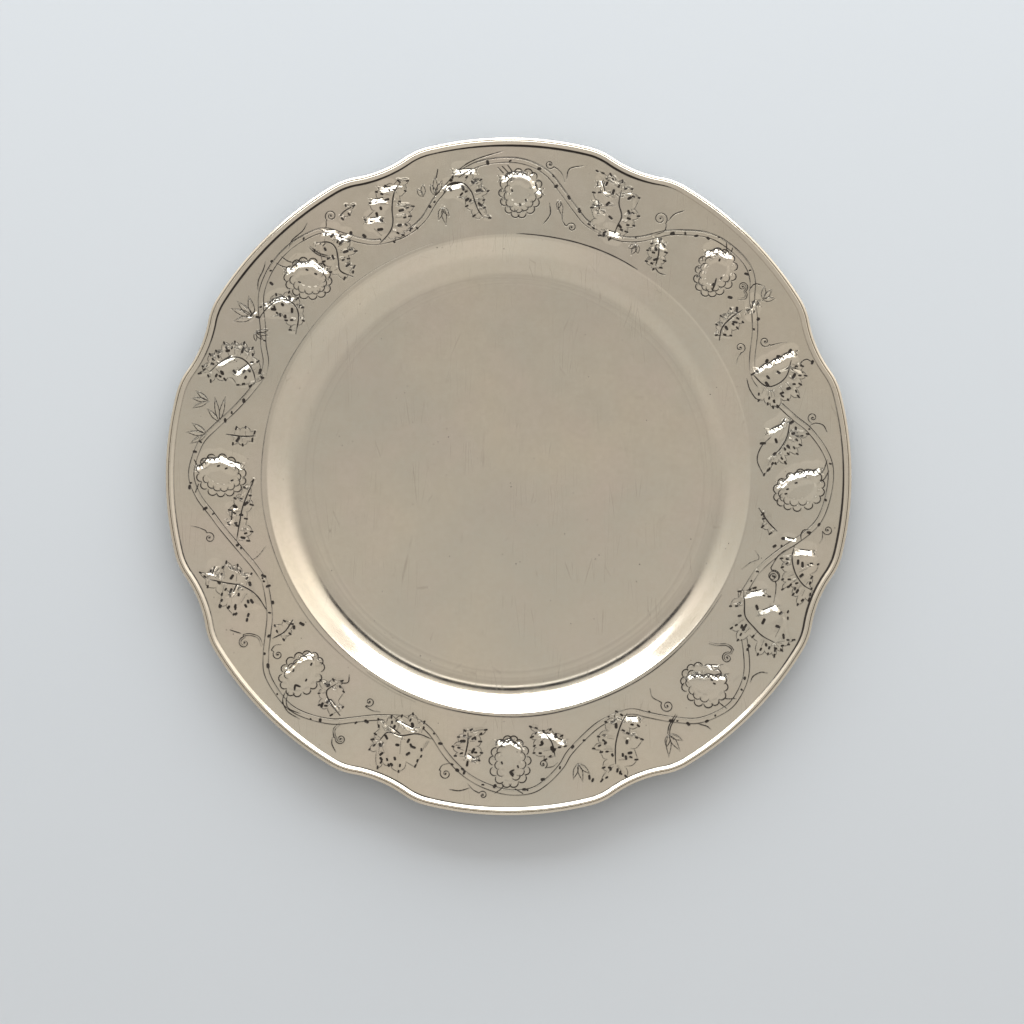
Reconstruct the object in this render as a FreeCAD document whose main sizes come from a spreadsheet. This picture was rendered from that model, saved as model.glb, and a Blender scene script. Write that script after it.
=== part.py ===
"""Silver salver: a raised round sheet with an eight-lobed edge and two applied rim wires.

Frame: origin at the centre of the underside of the well, +Z up out of the well,
+X and +Y each through the middle of a lobe.  Millimetres and degrees.
"""
import FreeCAD
import Part
import math
import os
import Sketcher

V = FreeCAD.Vector
UP = V(0, 0, 1)
OUT_DIR = "parts"

# Driving dimensions: alias, value, what it is.
DIMENSIONS = [
    ("overall_dia", 305.0, "across two opposite lobes, rim wire included"),
    ("lobe_count", 8, "lobes round the edge"),
    ("dip_radius", 149.0, "from the centre to the bottom of a dip between lobes"),
    ("shoulder_radius", 30.0, "convex arc between a lobe and a dip"),
    ("dip_arc_radius", 55.0, "concave arc in a dip"),
    ("sheet", 1.2, "thickness of the silver sheet"),
    ("well_depth", 9.0, "from the border down to the floor of the well"),
    ("floor_radius", 91.4, "flat floor of the well"),
    ("foot_radius", 16.0, "concave curve from the floor into the cavetto"),
    ("cavetto_slope", 42.0, "steepest slope of the cavetto, in degrees"),
    ("crease_radius", 2.6, "convex curve from the cavetto on to the border, top side"),
    ("edge_wire_width", 1.2, "thin wire around the cut edge"),
    ("edge_wire_stand", 0.75, "how far that wire's crest stands above the border"),
    ("edge_wire_corner", 0.3, "radius of that wire's crest and corners"),
    ("edge_wire_shoulder", 0.05, "height above the border of its outer corner's centre"),
    ("bead_width", 2.3, "moulded wire inside the thin one"),
    ("bead_stand", 1.1, "how far its crest stands above the border"),
    ("bead_crest", 0.55, "radius of its crest, which lies along its outer side"),
    ("groove_gap", 0.1, "between the feet of the two wires"),
]

# Derived dimensions: alias, formula in the aliases above.
DERIVED = [
    ("lobe_radius", "=overall_dia / 2"),
    ("dip_angle", "=180 / lobe_count"),
    ("dip_centre", "=dip_radius + dip_arc_radius"),
    ("shoulder_centre", "=lobe_radius - shoulder_radius"),
    ("shoulder_angle", "=acos((dip_centre ^ 2 + shoulder_centre ^ 2 - (shoulder_radius + dip_arc_radius) ^ 2)"
                       " / (2 * dip_centre * shoulder_centre)) / 1deg"),
    ("border_top", "=sheet + well_depth"),
    ("bead_inset", "=edge_wire_width + groove_gap + bead_crest"),
]


def make_sheet(doc):
    """The spreadsheet that drives every sub-part."""
    table = doc.addObject("Spreadsheet::Sheet", "dims")
    rows = [(alias, str(value), note) for alias, value, note in DIMENSIONS]
    rows += [(alias, formula, "derived") for alias, formula in DERIVED]
    for row, (alias, text, note) in enumerate(rows, start=1):
        table.set("A%d" % row, alias)
        table.set("B%d" % row, text)
        table.set("C%d" % row, note)
        table.setAlias("B%d" % row, alias)
    doc.recompute()
    return table


def polar(radius, degrees):
    return V(radius * math.cos(math.radians(degrees)), radius * math.sin(math.radians(degrees)), 0)


def arc(centre, radius, start_deg, end_deg):
    """A counter-clockwise arc, given by its angles about its own centre."""
    circle = Part.Circle(centre, UP, radius)
    return Part.ArcOfCircle(circle, math.radians(start_deg), math.radians(end_deg))


def tie(sketch, kind, *refs):
    """Add a constraint that carries no size."""
    sketch.addConstraint(Sketcher.Constraint(kind, *refs))


def drive(sketch, kind, refs, value, formula):
    """Add a sized constraint and bind it to a formula in the table's aliases."""
    index = sketch.addConstraint(Sketcher.Constraint(kind, *refs, value))
    name = "%s%d" % (kind.lower(), index)
    sketch.renameConstraint(index, name)
    sketch.setExpression("Constraints." + name, formula)


def lobed_path(doc, table, name, inset, inset_formula):
    """The closed eight-lobed line at a constant inset from the overall edge.

    Each lobe is an arc about the origin; a convex shoulder on either side leads,
    tangent at both ends, into the concave arc of the dip.
    """
    sketch = doc.addObject("Sketcher::SketchObject", name)
    count = int(table.lobe_count)
    lobe_r = table.lobe_radius - inset
    shoulder_r = table.shoulder_radius - inset
    dip_r = table.dip_arc_radius + inset
    half, delta = table.dip_angle, table.shoulder_angle
    pieces = []
    for lobe in range(count):
        middle = 2 * half * lobe
        first, second = middle - half + delta, middle + half - delta
        dip_at = middle + half
        before, after = polar(table.shoulder_centre, second), polar(table.shoulder_centre, dip_at + delta)
        dip = polar(table.dip_centre, dip_at)
        lean_in = math.degrees(math.atan2(dip.y - before.y, dip.x - before.x))
        lean_out = math.degrees(math.atan2(dip.y - after.y, dip.x - after.x))
        shoulder_out = dip_at + delta
        pieces.append(("lobe", arc(V(0, 0, 0), lobe_r, first, second), None))
        pieces.append(("shoulder", arc(before, shoulder_r, second, second + (lean_in - second) % 360), None))
        pieces.append(("dip", arc(dip, dip_r, lean_out + 180, lean_out + 180 + (lean_in - lean_out) % 360), dip_at))
        pieces.append(("shoulder", arc(after, shoulder_r, lean_out, lean_out + (shoulder_out - lean_out) % 360), None))
    ids = [sketch.addGeometry(geometry, False) for _, geometry, _ in pieces]
    for place, (kind, geometry, dip_at) in enumerate(pieces):
        this, following = ids[place], ids[(place + 1) % len(ids)]
        leaving = 1 if kind == "dip" else 2
        entering = 2 if pieces[(place + 1) % len(pieces)][0] == "dip" else 1
        tie(sketch, "Tangent", this, leaving, following, entering)
    for this, (kind, geometry, dip_at) in zip(ids, pieces):
        if kind == "lobe":
            tie(sketch, "Coincident", this, 3, -1, 1)
            drive(sketch, "Radius", (this,), lobe_r, "dims.lobe_radius - (%s)" % inset_formula)
        elif kind == "shoulder":
            drive(sketch, "Radius", (this,), shoulder_r, "dims.shoulder_radius - (%s)" % inset_formula)
        else:
            centre = polar(table.dip_centre, dip_at)
            turns = (dip_at / half) % (2 * count)
            drive(sketch, "DistanceX", (-1, 1, this, 3), centre.x,
                  "dims.dip_centre * cos(dims.dip_angle * %d * 1deg)" % turns)
            drive(sketch, "DistanceY", (-1, 1, this, 3), centre.y,
                  "dims.dip_centre * sin(dims.dip_angle * %d * 1deg)" % turns)
            drive(sketch, "Radius", (this,), dip_r, "dims.dip_arc_radius + (%s)" % inset_formula)
    return sketch


def sheet_profile(doc, table):
    """Half of the section through the sheet, drawn in the XZ plane."""
    sketch = doc.addObject("Sketcher::SketchObject", "sheet_profile")
    sketch.Placement = FreeCAD.Placement(V(0, 0, 0), FreeCAD.Rotation(V(1, 0, 0), 90))
    sheet, top, floor = table.sheet, table.border_top, table.floor_radius
    foot, crease, slope = table.foot_radius, table.crease_radius, table.cavetto_slope
    rise = math.radians(slope)
    foot_centre = V(floor, sheet + foot, 0)
    drop = foot * (1 - math.cos(rise)) + crease * (1 - math.cos(rise))
    straight = (table.well_depth - drop) / math.sin(rise)
    across = (foot + crease) * math.sin(rise) + straight * math.cos(rise)
    crease_centre = V(floor + across, top - crease, 0)
    outer = table.lobe_radius + 2

    def on(centre, radius, degrees):
        return centre + polar(radius, degrees)

    def line(a, b):
        return sketch.addGeometry(Part.LineSegment(a, b), False)

    def bend(centre, radius, first, last):
        return sketch.addGeometry(arc(centre, radius, first, last), False)

    axis = line(V(0, 0, 0), V(0, sheet, 0))
    floor_top = line(V(0, sheet, 0), V(floor, sheet, 0))
    foot_top = bend(foot_centre, foot, -90, slope - 90)
    wall_top = line(on(foot_centre, foot, slope - 90), on(crease_centre, crease, slope + 90))
    crease_top = bend(crease_centre, crease, 90, slope + 90)
    border = line(on(crease_centre, crease, 90), V(outer, top, 0))
    edge = line(V(outer, top, 0), V(outer, top - sheet, 0))
    border_under = line(V(outer, top - sheet, 0), on(crease_centre, crease - sheet, 90))
    crease_under = bend(crease_centre, crease - sheet, 90, slope + 90)
    wall_under = line(on(crease_centre, crease - sheet, slope + 90), on(foot_centre, foot + sheet, slope - 90))
    foot_under = bend(foot_centre, foot + sheet, -90, slope - 90)
    floor_under = line(V(floor, 0, 0), V(0, 0, 0))

    tie(sketch, "Coincident", axis, 1, -1, 1)
    tie(sketch, "Vertical", axis)
    tie(sketch, "Coincident", axis, 2, floor_top, 1)
    tie(sketch, "Coincident", border, 2, edge, 1)
    tie(sketch, "Coincident", edge, 2, border_under, 1)
    tie(sketch, "Coincident", floor_under, 2, -1, 1)
    tie(sketch, "Vertical", edge)
    for flat in (floor_top, border, border_under, floor_under):
        tie(sketch, "Horizontal", flat)
    joins = [(floor_top, 2, foot_top, 1), (foot_top, 2, wall_top, 1), (wall_top, 2, crease_top, 2),
             (crease_top, 1, border, 1), (border_under, 2, crease_under, 1), (crease_under, 2, wall_under, 1),
             (wall_under, 2, foot_under, 2), (foot_under, 1, floor_under, 1)]
    for join in joins:
        tie(sketch, "Tangent", *join)
    tie(sketch, "Coincident", crease_under, 3, crease_top, 3)
    tie(sketch, "Coincident", foot_under, 3, foot_top, 3)
    drive(sketch, "DistanceY", (axis, 1, axis, 2), sheet, "dims.sheet")
    drive(sketch, "DistanceX", (-1, 1, floor_top, 2), floor, "dims.floor_radius")
    drive(sketch, "Radius", (foot_top,), foot, "dims.foot_radius")
    drive(sketch, "Angle", (wall_top,), rise, "dims.cavetto_slope * 1deg")
    drive(sketch, "Radius", (crease_top,), crease, "dims.crease_radius")
    drive(sketch, "DistanceY", (-1, 1, border, 2), top, "dims.border_top")
    drive(sketch, "DistanceX", (-1, 1, border, 2), outer, "dims.lobe_radius + 2")
    drive(sketch, "DistanceY", (edge, 2, edge, 1), sheet, "dims.sheet")
    return sketch


def plate_body(doc, table):
    """One raised sheet: flat well, cavetto and border, cut to the lobed outline."""
    turned = doc.addObject("Part::Revolution", "turned_sheet")
    turned.Source = sheet_profile(doc, table)
    turned.Axis = UP
    turned.Base = V(0, 0, 0)
    turned.Angle = 360
    turned.Solid = True
    outline = lobed_path(doc, table, "sheet_outline", table.edge_wire_width, "dims.edge_wire_width")
    blank = doc.addObject("Part::Extrusion", "lobed_blank")
    blank.Base = outline
    blank.DirMode = "Custom"
    blank.Dir = UP
    blank.Solid = True
    blank.setExpression("LengthFwd", "dims.border_top + 1")
    body = doc.addObject("Part::Common", "plate_body")
    body.Base = turned
    body.Tool = blank
    return body


def wire_section(doc, name, table, inset_formula):
    """An empty section sketch, square to the lobed path where its first lobe arc begins."""
    sketch = doc.addObject("Sketcher::SketchObject", name)
    turn = "(dims.shoulder_angle - dims.dip_angle) * 1deg"
    start = table.shoulder_angle - table.dip_angle
    stand_up = FreeCAD.Rotation(V(1, 0, 0), 90)
    sketch.Placement = FreeCAD.Placement(V(0, 0, 0), FreeCAD.Rotation(UP, start).multiply(stand_up))
    sketch.setExpression("Placement.Base.x", "(dims.lobe_radius - (%s)) * cos(%s)" % (inset_formula, turn))
    sketch.setExpression("Placement.Base.y", "(dims.lobe_radius - (%s)) * sin(%s)" % (inset_formula, turn))
    sketch.setExpression("Placement.Base.z", "dims.border_top")
    return sketch


def sweep(doc, name, section, path):
    wire = doc.addObject("Part::Sweep", name)
    wire.Sections = [section]
    wire.Spine = (path, ["Edge%d" % (number + 1) for number in range(len(path.Geometry))])
    wire.Solid = True
    wire.Frenet = False
    return wire


def rim_bead(doc, table):
    """Moulded wire on the border: a long bevel facing inwards, rising to a round crest near the edge."""
    path = lobed_path(doc, table, "bead_path", table.bead_inset, "dims.bead_inset")
    path.setExpression("Placement.Base.z", "dims.border_top")
    section = wire_section(doc, "bead_section", table, "dims.bead_inset")
    crest, stand = table.bead_crest, table.bead_stand
    inner = table.bead_width - crest
    centre = V(0, stand - crest, 0)
    reach = math.hypot(inner, centre.y)
    slope = math.degrees(math.atan2(centre.y, inner) + math.asin(crest / reach))
    touch = centre + polar(crest, 90 + slope)
    base = section.addGeometry(Part.LineSegment(V(-inner, 0, 0), V(crest, 0, 0)), False)
    side = section.addGeometry(Part.LineSegment(V(crest, 0, 0), V(crest, centre.y, 0)), False)
    top = section.addGeometry(arc(centre, crest, 0, 90 + slope), False)
    bevel = section.addGeometry(Part.LineSegment(touch, V(-inner, 0, 0)), False)
    tie(section, "Coincident", base, 2, side, 1)
    tie(section, "Tangent", side, 2, top, 1)
    tie(section, "Tangent", top, 2, bevel, 1)
    tie(section, "Coincident", bevel, 2, base, 1)
    tie(section, "Horizontal", base)
    tie(section, "Vertical", side)
    tie(section, "PointOnObject", base, 1, -1)
    tie(section, "PointOnObject", top, 3, -2)
    drive(section, "Radius", (top,), crest, "dims.bead_crest")
    drive(section, "DistanceY", (-1, 1, top, 3), centre.y, "dims.bead_stand - dims.bead_crest")
    drive(section, "DistanceX", (base, 1, base, 2), inner + crest, "dims.bead_width")
    return sweep(doc, "rim_bead", section, path)


def rim_edge_wire(doc, table):
    """Thin wire round the cut edge of the sheet: its top slopes outwards, its corners are round."""
    inset_formula = "dims.edge_wire_width / 2"
    path = lobed_path(doc, table, "edge_wire_path", table.edge_wire_width / 2, inset_formula)
    path.setExpression("Placement.Base.z", "dims.border_top")
    section = wire_section(doc, "edge_wire_section", table, inset_formula)
    half, corner = table.edge_wire_width / 2, table.edge_wire_corner
    crest = V(corner - half, table.edge_wire_stand - corner, 0)
    shoulder = V(half - corner, table.edge_wire_shoulder, 0)
    heel = V(half - corner, corner - table.sheet, 0)
    fall = math.degrees(math.atan2(crest.y - shoulder.y, shoulder.x - crest.x))
    out = polar(corner, 90 - fall)
    top = section.addGeometry(arc(crest, corner, 90 - fall, 180), False)
    inner = section.addGeometry(Part.LineSegment(crest - V(corner, 0, 0), V(-half, -table.sheet, 0)), False)
    bottom = section.addGeometry(Part.LineSegment(V(-half, -table.sheet, 0), heel - V(0, corner, 0)), False)
    under = section.addGeometry(arc(heel, corner, 270, 360), False)
    outer = section.addGeometry(Part.LineSegment(heel + V(corner, 0, 0), shoulder + V(corner, 0, 0)), False)
    edge = section.addGeometry(arc(shoulder, corner, 0, 90 - fall), False)
    bevel = section.addGeometry(Part.LineSegment(shoulder + out, crest + out), False)
    for join in ((top, 2, inner, 1), (bottom, 2, under, 1), (under, 2, outer, 1), (outer, 2, edge, 1),
                 (edge, 2, bevel, 1), (bevel, 2, top, 1)):
        tie(section, "Tangent", *join)
    tie(section, "Coincident", inner, 2, bottom, 1)
    tie(section, "Vertical", inner)
    tie(section, "Vertical", outer)
    tie(section, "Horizontal", bottom)
    for rounded in (top, edge, under):
        drive(section, "Radius", (rounded,), corner, "dims.edge_wire_corner")
    drive(section, "DistanceX", (inner, 1, -1, 1), half, inset_formula)
    drive(section, "DistanceX", (-1, 1, outer, 1), half, inset_formula)
    drive(section, "DistanceY", (-1, 1, top, 3), crest.y, "dims.edge_wire_stand - dims.edge_wire_corner")
    drive(section, "DistanceY", (-1, 1, edge, 3), shoulder.y, "dims.edge_wire_shoulder")
    drive(section, "DistanceY", (bottom, 1, -1, 1), table.sheet, "dims.sheet")
    return sweep(doc, "rim_edge_wire", section, path)


def check(doc):
    """Stop at the first object that did not recompute."""
    for item in doc.Objects:
        if "Invalid" in item.State or "Error" in item.State:
            raise RuntimeError("%s: %s" % (item.Name, item.State))
        shape = getattr(item, "Shape", None)
        if shape is not None and (shape.isNull() or not shape.isValid()):
            raise RuntimeError("%s has no valid shape" % item.Name)


def main():
    doc = FreeCAD.newDocument("salver")
    table = make_sheet(doc)
    nodes = [maker(doc, table) for maker in (plate_body, rim_bead, rim_edge_wire)]
    doc.recompute()
    check(doc)
    os.makedirs(OUT_DIR, exist_ok=True)
    for node in nodes:
        node.Label = node.Name
        node.Placement = FreeCAD.Placement(V(0, 0, 0), FreeCAD.Rotation())
        box = node.Shape.BoundBox
        node.Shape.exportStep(os.path.join(OUT_DIR, node.Name + ".step"))
        print("%s: %d solid, %.0f mm3, %.2f x %.2f x %.2f mm" % (
            node.Name, len(node.Shape.Solids), node.Shape.Volume, box.XLength, box.YLength, box.ZLength))


main()
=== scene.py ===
"""Looks of the silver salver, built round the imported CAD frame.

The sheet is one closed mesh whose border carries the chased vine as real relief.
The ornament is laid out in the salver's own polar frame: degrees counter-clockwise from +X,
millimetres from the centre.
"""
import math

import bpy
import numpy as np
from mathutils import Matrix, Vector


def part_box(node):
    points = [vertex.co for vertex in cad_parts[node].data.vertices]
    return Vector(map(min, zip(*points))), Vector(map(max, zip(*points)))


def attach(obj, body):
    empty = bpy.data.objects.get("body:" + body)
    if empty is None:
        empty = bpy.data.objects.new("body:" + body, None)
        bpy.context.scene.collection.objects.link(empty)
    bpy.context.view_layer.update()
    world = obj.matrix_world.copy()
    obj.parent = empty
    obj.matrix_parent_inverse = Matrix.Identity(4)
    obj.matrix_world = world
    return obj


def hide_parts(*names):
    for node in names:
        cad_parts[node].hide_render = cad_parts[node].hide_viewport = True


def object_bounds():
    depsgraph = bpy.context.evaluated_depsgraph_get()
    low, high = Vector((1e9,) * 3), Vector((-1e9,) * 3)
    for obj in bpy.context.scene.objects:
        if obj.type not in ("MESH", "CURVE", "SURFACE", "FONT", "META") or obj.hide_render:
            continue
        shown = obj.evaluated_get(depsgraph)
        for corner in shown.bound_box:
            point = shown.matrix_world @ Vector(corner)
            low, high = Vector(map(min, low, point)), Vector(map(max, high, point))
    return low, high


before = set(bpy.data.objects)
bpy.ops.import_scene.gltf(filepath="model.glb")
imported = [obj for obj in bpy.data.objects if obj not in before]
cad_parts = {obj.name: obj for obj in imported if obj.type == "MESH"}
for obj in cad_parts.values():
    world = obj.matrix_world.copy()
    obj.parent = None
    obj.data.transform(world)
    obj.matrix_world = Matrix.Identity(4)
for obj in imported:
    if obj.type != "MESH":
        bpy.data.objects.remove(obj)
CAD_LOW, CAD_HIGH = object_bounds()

MM = 0.001

# The sheet and its wires, in millimetres, as the CAD has them.
OVERALL_RADIUS = 152.5
DIP_RADIUS = 149.0
SHOULDER_RADIUS = 30.0
DIP_ARC_RADIUS = 55.0
HALF_LOBE = 22.5
SHEET = 1.2
FLOOR_RADIUS = 91.4
FOOT_RADIUS = 16.0
CREASE_RADIUS = 2.6
CAVETTO_SLOPE = math.radians(42.0)
EDGE_WIRE_WIDTH = 1.2
EDGE_WIRE_STAND = 0.75
EDGE_WIRE_CORNER = 0.3
EDGE_WIRE_SHOULDER = 0.05
BEAD_WIDTH = 2.3
BEAD_STAND = 1.1
BEAD_CREST = 0.55
GROOVE_GAP = 0.1

BORDER_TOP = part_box("plate_body")[1].z / MM
WELL_DEPTH = BORDER_TOP - SHEET

# The working grid of the border.
COLUMNS = 2880
ROWS = 152

# The middle of the underside is this far off the table, in mm, inside the ring it stands on.
UNDERSIDE_LIFT = 0.12
STANDING_RADIUS = 86.0

# Relief above this height, in mm, is eased over towards a flat top this much higher.
RELIEF_FREE = 0.8
RELIEF_EASE = 0.4

# Vertices round the cavetto, the underside and each wire.
HALF_COLUMNS = COLUMNS // 2

# Brightness of the studio ceiling that the flat silver mirrors.
CEILING = 0.495


# ---------------------------------------------------------------- outline and section

def edge_radius(angle, inset):
    """Radius of the lobed line at an inset from the overall edge; angles in radians."""
    half = math.radians(HALF_LOBE)
    lobe = OVERALL_RADIUS - inset
    shoulder = SHOULDER_RADIUS - inset
    dip = DIP_ARC_RADIUS + inset
    near, far = OVERALL_RADIUS - SHOULDER_RADIUS, DIP_RADIUS + DIP_ARC_RADIUS
    between = shoulder + dip
    lean = math.acos((near ** 2 + far ** 2 - between ** 2) / (2 * near * far))
    shoulder_at = np.array([near * math.cos(lean), near * math.sin(lean)])
    meet = np.array([far, 0.0]) + (shoulder_at - [far, 0.0]) * dip / between
    switch = math.atan2(meet[1], meet[0])
    off = np.abs((np.asarray(angle) % (2 * half)) - half)
    on_shoulder = near * np.cos(off - lean) + np.sqrt(shoulder ** 2 - (near * np.sin(off - lean)) ** 2)
    inside = np.clip(dip ** 2 - (far * np.sin(off)) ** 2, 0, None)
    on_dip = far * np.cos(off) - np.sqrt(inside)
    return np.where(off >= lean, lobe, np.where(off >= switch, on_shoulder, on_dip))


def cavetto_section(offset):
    """(radius, height) points from the floor of the well to the border, on the top face or,
    with offset = SHEET, on the underside."""
    foot = FOOT_RADIUS + offset
    crease = CREASE_RADIUS - offset
    rise, slope = math.sin(CAVETTO_SLOPE), CAVETTO_SLOPE
    turned = (FOOT_RADIUS + CREASE_RADIUS) * (1 - math.cos(slope))
    wall = (WELL_DEPTH - turned) / rise
    foot_centre = np.array([FLOOR_RADIUS, SHEET + FOOT_RADIUS])
    across = (FOOT_RADIUS + CREASE_RADIUS) * rise + wall * math.cos(slope)
    crease_centre = np.array([FLOOR_RADIUS + across, BORDER_TOP - CREASE_RADIUS])
    lower = [foot_centre + foot * np.array([math.sin(a), -math.cos(a)]) for a in np.linspace(0, slope, 25)]
    upper = [crease_centre + crease * np.array([-math.sin(a), math.cos(a)])
             for a in np.linspace(slope, 0, 12)]
    wall_points = [lower[-1] + (upper[0] - lower[-1]) * t for t in (0.33, 0.67)]
    return lower + wall_points + upper


BORDER_START = cavetto_section(0)[-1][0]
SHEET_EDGE = EDGE_WIRE_WIDTH


# ---------------------------------------------------------------- strokes on the border

def place(points):
    """(degrees, mm) pairs as x, y in millimetres."""
    polar = np.asarray(points, float).reshape(-1, 2)
    angle = np.radians(polar[:, 0])
    return np.stack([polar[:, 1] * np.cos(angle), polar[:, 1] * np.sin(angle)], 1)


def smooth(points, step=0.7):
    """A Catmull-Rom curve through x, y points."""
    if len(points) < 3:
        return points
    ends = np.vstack([2 * points[0] - points[1], points, 2 * points[-1] - points[-2]])
    out = []
    for a, b, c, d in zip(ends, ends[1:], ends[2:], ends[3:]):
        count = max(2, int(np.linalg.norm(c - b) / step))
        t = np.linspace(0, 1, count, endpoint=False)[:, None]
        out.append(0.5 * (2 * b + (c - a) * t + (2 * a - 5 * b + 4 * c - d) * t ** 2
                          + (3 * b - a - 3 * c + d) * t ** 3))
    return np.vstack(out + [points[-1:]])


def shift_sideways(line, distance):
    """The x, y line moved to its left by a distance."""
    along = np.gradient(line, axis=0)
    along /= np.linalg.norm(along, axis=1)[:, None] + 1e-9
    return line + distance * np.stack([-along[:, 1], along[:, 0]], 1)


def nearest(x, y, line):
    """Distance from every (x, y) to a polyline, and how far along it the nearest point is."""
    best, along = np.full(x.shape, 1e9), np.zeros(x.shape)
    pieces = max(1, len(line) - 1)
    for number in range(pieces):
        start = line[number]
        run = line[min(number + 1, len(line) - 1)] - start
        t = np.clip(((x - start[0]) * run[0] + (y - start[1]) * run[1]) / (run @ run + 1e-9), 0, 1)
        square = (x - start[0] - t * run[0]) ** 2 + (y - start[1] - t * run[1]) ** 2
        closer = square < best
        best[closer] = square[closer]
        along[closer] = ((number + t) / pieces)[closer]
    return np.sqrt(best), along


class Border:
    """Heights (mm) and darkening (0 to 1) worked into the border, ring by ring: patina in the chased lines,
    with painted dark reflections beside the raised work.
    """

    def __init__(self):
        self.angle = np.arange(COLUMNS) * 2 * math.pi / COLUMNS
        share = np.linspace(0, 1, ROWS)[:, None]
        self.radius = BORDER_START + share * (edge_radius(self.angle, SHEET_EDGE) - BORDER_START)
        self.x = self.radius * np.cos(self.angle)
        self.y = self.radius * np.sin(self.angle)
        self.height = np.zeros(self.x.shape)
        self.dark = np.zeros(self.x.shape)
        self.random = np.random.default_rng(11)

    def around(self, line, reach):
        """Index of the part of the grid within reach of an x, y line."""
        radius = np.hypot(line[:, 0], line[:, 1])
        angle = np.unwrap(np.arctan2(line[:, 1], line[:, 0]))
        narrow, wide = DIP_RADIUS - SHEET_EDGE, OVERALL_RADIUS - SHEET_EDGE
        low = (radius.min() - reach - BORDER_START) / (wide - BORDER_START) * (ROWS - 1)
        high = (radius.max() + reach - BORDER_START) / (narrow - BORDER_START) * (ROWS - 1)
        spread = reach / radius.min()
        first = int((angle.min() - spread) / (2 * math.pi) * COLUMNS) - 1
        last = int((angle.max() + spread) / (2 * math.pi) * COLUMNS) + 2
        rows = np.arange(max(0, int(low)), min(ROWS, int(high) + 2))
        return np.ix_(rows, np.arange(first, last) % COLUMNS)

    def cut(self, line, width=0.28, depth=0.06, dark=0.75, taper=0.25):
        """A chased line along x, y points: a narrow groove with a low burr either side."""
        here = self.around(line, 4 * width)
        distance, along = nearest(self.x[here], self.y[here], line)
        ends = np.clip(np.minimum(along, 1 - along) / max(taper, 1e-3), 0, 1) if len(line) > 2 else 1.0
        press = (0.55 + 0.45 * ends) * (1 + 0.12 * np.sin(along * 37 + self.random.uniform(0, 6)))
        groove = np.exp(-(distance / width) ** 2)
        burr = 0.2 * np.exp(-((distance - 2.1 * width) / width) ** 2)
        self.height[here] -= depth * press * (groove - burr)
        # Patina settled in the groove; the same darkening also carries the painted dark reflections laid
        # along glint feet and in shade blots.
        tarnish_and_shade = 1.45 * dark * press * np.exp(-(distance / (1.05 * width)) ** 2)
        self.dark[here] = np.maximum(self.dark[here], tarnish_and_shade)

    def line(self, points, **looks):
        """A chased line through (degrees, mm) points."""
        self.cut(smooth(place(points)), **looks)

    def double(self, points, gap=1.1, **looks):
        """Two chased lines side by side."""
        middle = smooth(place(points))
        for side in (-gap / 2, gap / 2):
            self.cut(shift_sideways(middle, side), **looks)

    def dot(self, at, size=0.5, length=0.6, turn=0.0, dark=1.0):
        """A punch mark: a short deep dash, turned from the radial direction."""
        middle = place([at])[0]
        way = math.radians(at[0] + turn)
        half = length / 2 * np.array([math.cos(way), math.sin(way)])
        self.cut(np.array([middle - half, middle + half]), width=size, depth=0.09, dark=1.5 * dark)

    def dots(self, *places, size=0.5, length=0.6):
        """Several punch marks, each turned at random."""
        for at in places:
            self.dot(at, size * self.random.uniform(0.85, 1.15), length * self.random.uniform(0.6, 1.8),
                     self.random.uniform(0, 180))

    def swell(self, points, width=2.0, height=0.4):
        """Metal raised along (degrees, mm) points, highest on the line."""
        line = smooth(place(points))
        self.swell_line(line, width, height)

    def swell_line(self, line, width, height):
        """The same along an x, y line."""
        here = self.around(line, width)
        distance, _ = nearest(self.x[here], self.y[here], line)
        self.height[here] += height * np.clip(1 - (distance / width) ** 2, 0, None) ** 2

    def glint(self, points, width=2.9, height=0.72, depth=0.75):
        """A steep flank towards +Y along (degrees, mm) points, from a lumpy crest down into a trough.

        A groove along the foot of that flank holds patina darkened further as a painted dark reflection, and
        punched scallops cross it."""
        flank = smooth(place(points), 0.4)
        wander = np.sin(np.arange(len(flank)) * 0.5 + self.random.uniform(0, 6))
        flank = flank + np.stack([np.zeros(len(flank)), 0.3 * wander], 1)
        here = self.around(flank, 2 * width)
        lumps = 0.93 + 0.1 * np.sin(self.x[here] * 1.9 + self.random.uniform(0, 6))
        for amount, way in ((height, 1), (-depth, -1)):
            edge = flank - [0, 0.5 * width * way]
            distance, along = nearest(self.x[here], self.y[here], edge)
            edge_y = np.interp(along, np.linspace(0, 1, len(edge)), edge[:, 1])
            steep = np.clip(1 - distance / width, 0, 1)
            gentle = np.clip(1 - (distance / (1.3 * width)) ** 2, 0, None) ** 2
            on_flank = (self.y[here] - edge_y) * way > 0
            self.height[here] += amount * lumps * np.where(on_flank, steep, gentle)
        # Patina and painted dark reflection in a groove along the flank's foot, on its +Y edge.
        self.cut(flank + [0, 0.42 * width], width=0.3, depth=0.1, dark=0.9, taper=0.1)
        scallop = np.array([[-1.1, -0.5], [-1.0, 0.5], [0.0, 1.1], [0.9, 0.6], [1.0, -0.3]])
        for spot in flank[2:-1:5]:
            size = self.random.uniform(0.5, 1.0) * self.random.choice([-1, 1])
            self.cut(smooth(spot + scallop * [size, abs(size)], 0.3), width=0.26, depth=0.12, dark=0.85)

    def shade_blot(self, points):
        """A cluster of deep punch marks beside (degrees, mm) points, filled with painted dark reflection on
        slopes facing away from the softbox.
        """
        line = smooth(place(points), 1.0)
        for spot in line:
            way = self.random.uniform(0.6, 1.6) * self.random.choice([-1, 1])
            half = self.random.uniform(0.3, 0.6) * np.array([math.cos(way), math.sin(way)])
            middle = spot + self.random.uniform(-0.3, 0.3, 2)
            self.cut(np.array([middle - half, middle + half]), width=0.42, depth=0.1, dark=1.5)

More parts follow.
